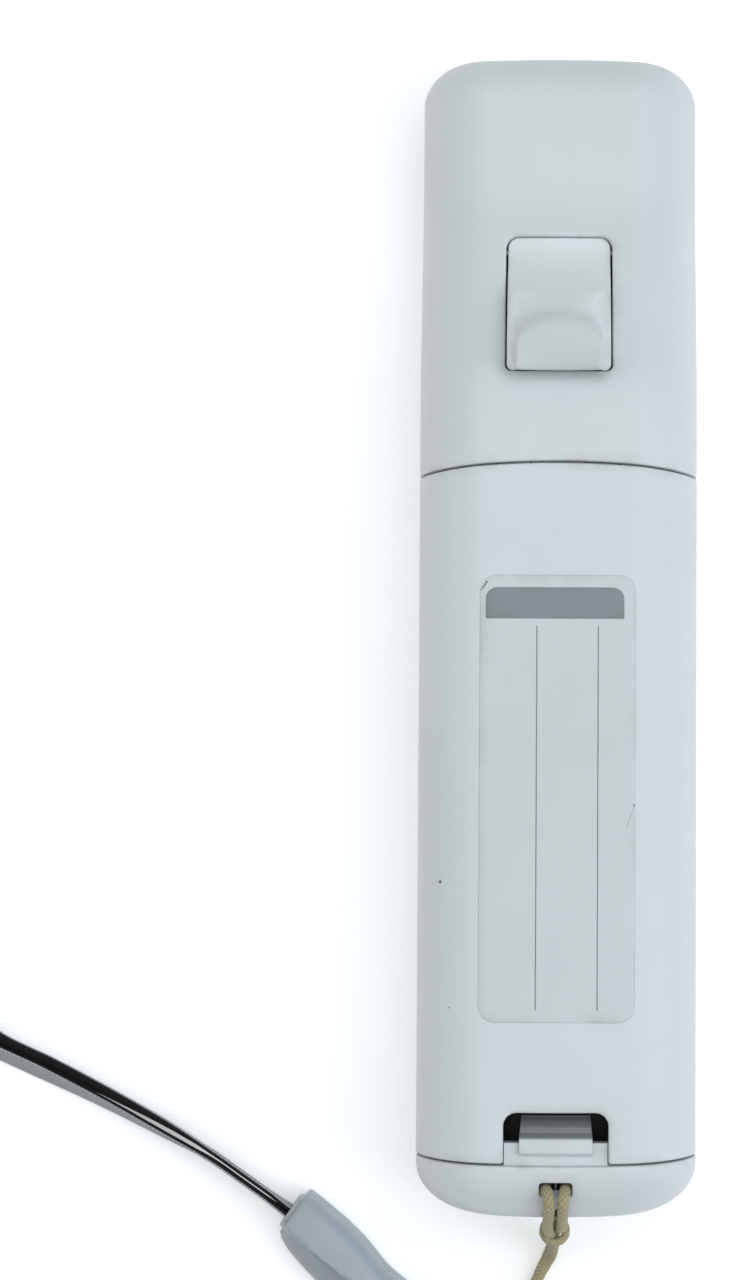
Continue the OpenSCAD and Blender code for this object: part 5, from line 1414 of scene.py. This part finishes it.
def stage_floor():
    material, tree, shader, where = blank_finish("studio floor")
    paper = noise(tree, where, 900.0, 4.0)
    soft = noise(tree, where, 6.0, 2.0)
    colour = tint(tree, soft, (0.93, 0.935, 0.94, 1), (0.96, 0.965, 0.97, 1))
    lay_finish(tree, shader, colour, between(tree, paper, 0.3, 0.7, 0.75, 0.9), Specular_IOR_Level=0.2,
               Emission_Strength=0.25)
    tree.links.new(colour, shader.inputs["Emission Color"])
    mesh = bpy.data.meshes.new("studio_floor")
    h = FLOOR_HALF
    mesh.from_pydata([(-h, -h, 0), (h, -h, 0), (h, h, 0), (-h, h, 0)], [], [(0, 1, 2, 3)])
    mesh.materials.append(material)
    floor = bpy.data.objects.new("studio_floor", mesh)
    scene.collection.objects.link(floor)


def softbox(name, place, aim, size, power, colour):
    data = bpy.data.lights.new(name, "AREA")
    data.shape = "RECTANGLE"
    data.size, data.size_y = size
    data.energy = power
    data.color = colour
    lamp = bpy.data.objects.new(name, data)
    scene.collection.objects.link(lamp)
    lamp.location = place
    lamp.rotation_euler = (Vector(aim) - Vector(place)).to_track_quat("-Z", "Y").to_euler()


def photo_camera():
    back = Vector((0, -math.sin(PITCH), math.cos(PITCH)))
    right = Vector((1, 0, 0))
    turned = right * math.cos(ROLL) + back.cross(right) * math.sin(ROLL)
    data = bpy.data.cameras.new("photo_camera")
    data.sensor_width = SENSOR
    data.lens = SENSOR * FOCAL_PIXELS / PHOTO_HIGH
    data.shift_x = (PHOTO_WIDE / 2 - MIDDLE_ACROSS) / PHOTO_HIGH
    data.clip_start = 0.01
    camera = bpy.data.objects.new("photo_camera", data)
    scene.collection.objects.link(camera)
    basis = Matrix((turned, back.cross(turned), back)).transposed().to_4x4()
    basis.translation = Vector(AIM) + back * CAMERA_AWAY
    camera.matrix_world = basis
    scene.camera = camera


stage_floor()
photo_camera()
softbox("over_light", (0.15, 0.08, 0.9), (0, 0, 0), (0.9, 0.9), 5.2, (0.98, 1.0, 1.02))
softbox("left_light", (-0.8, 0.1, 0.5), (0, 0, 0.01), (0.5, 0.8), 1.5, (1.0, 0.97, 0.92))
softbox("right_light", (0.8, -0.2, 0.55), (0, 0, 0.01), (0.5, 0.8), 2.8, (0.85, 0.93, 1.0))
world = bpy.data.worlds.new("studio_world")
scene.world = world
world.use_nodes = True
world.node_tree.nodes["Background"].inputs["Color"].default_value = (0.95, 0.97, 1.0, 1)
world.node_tree.nodes["Background"].inputs["Strength"].default_value = 0.3
scene.view_settings.view_transform = "Standard"
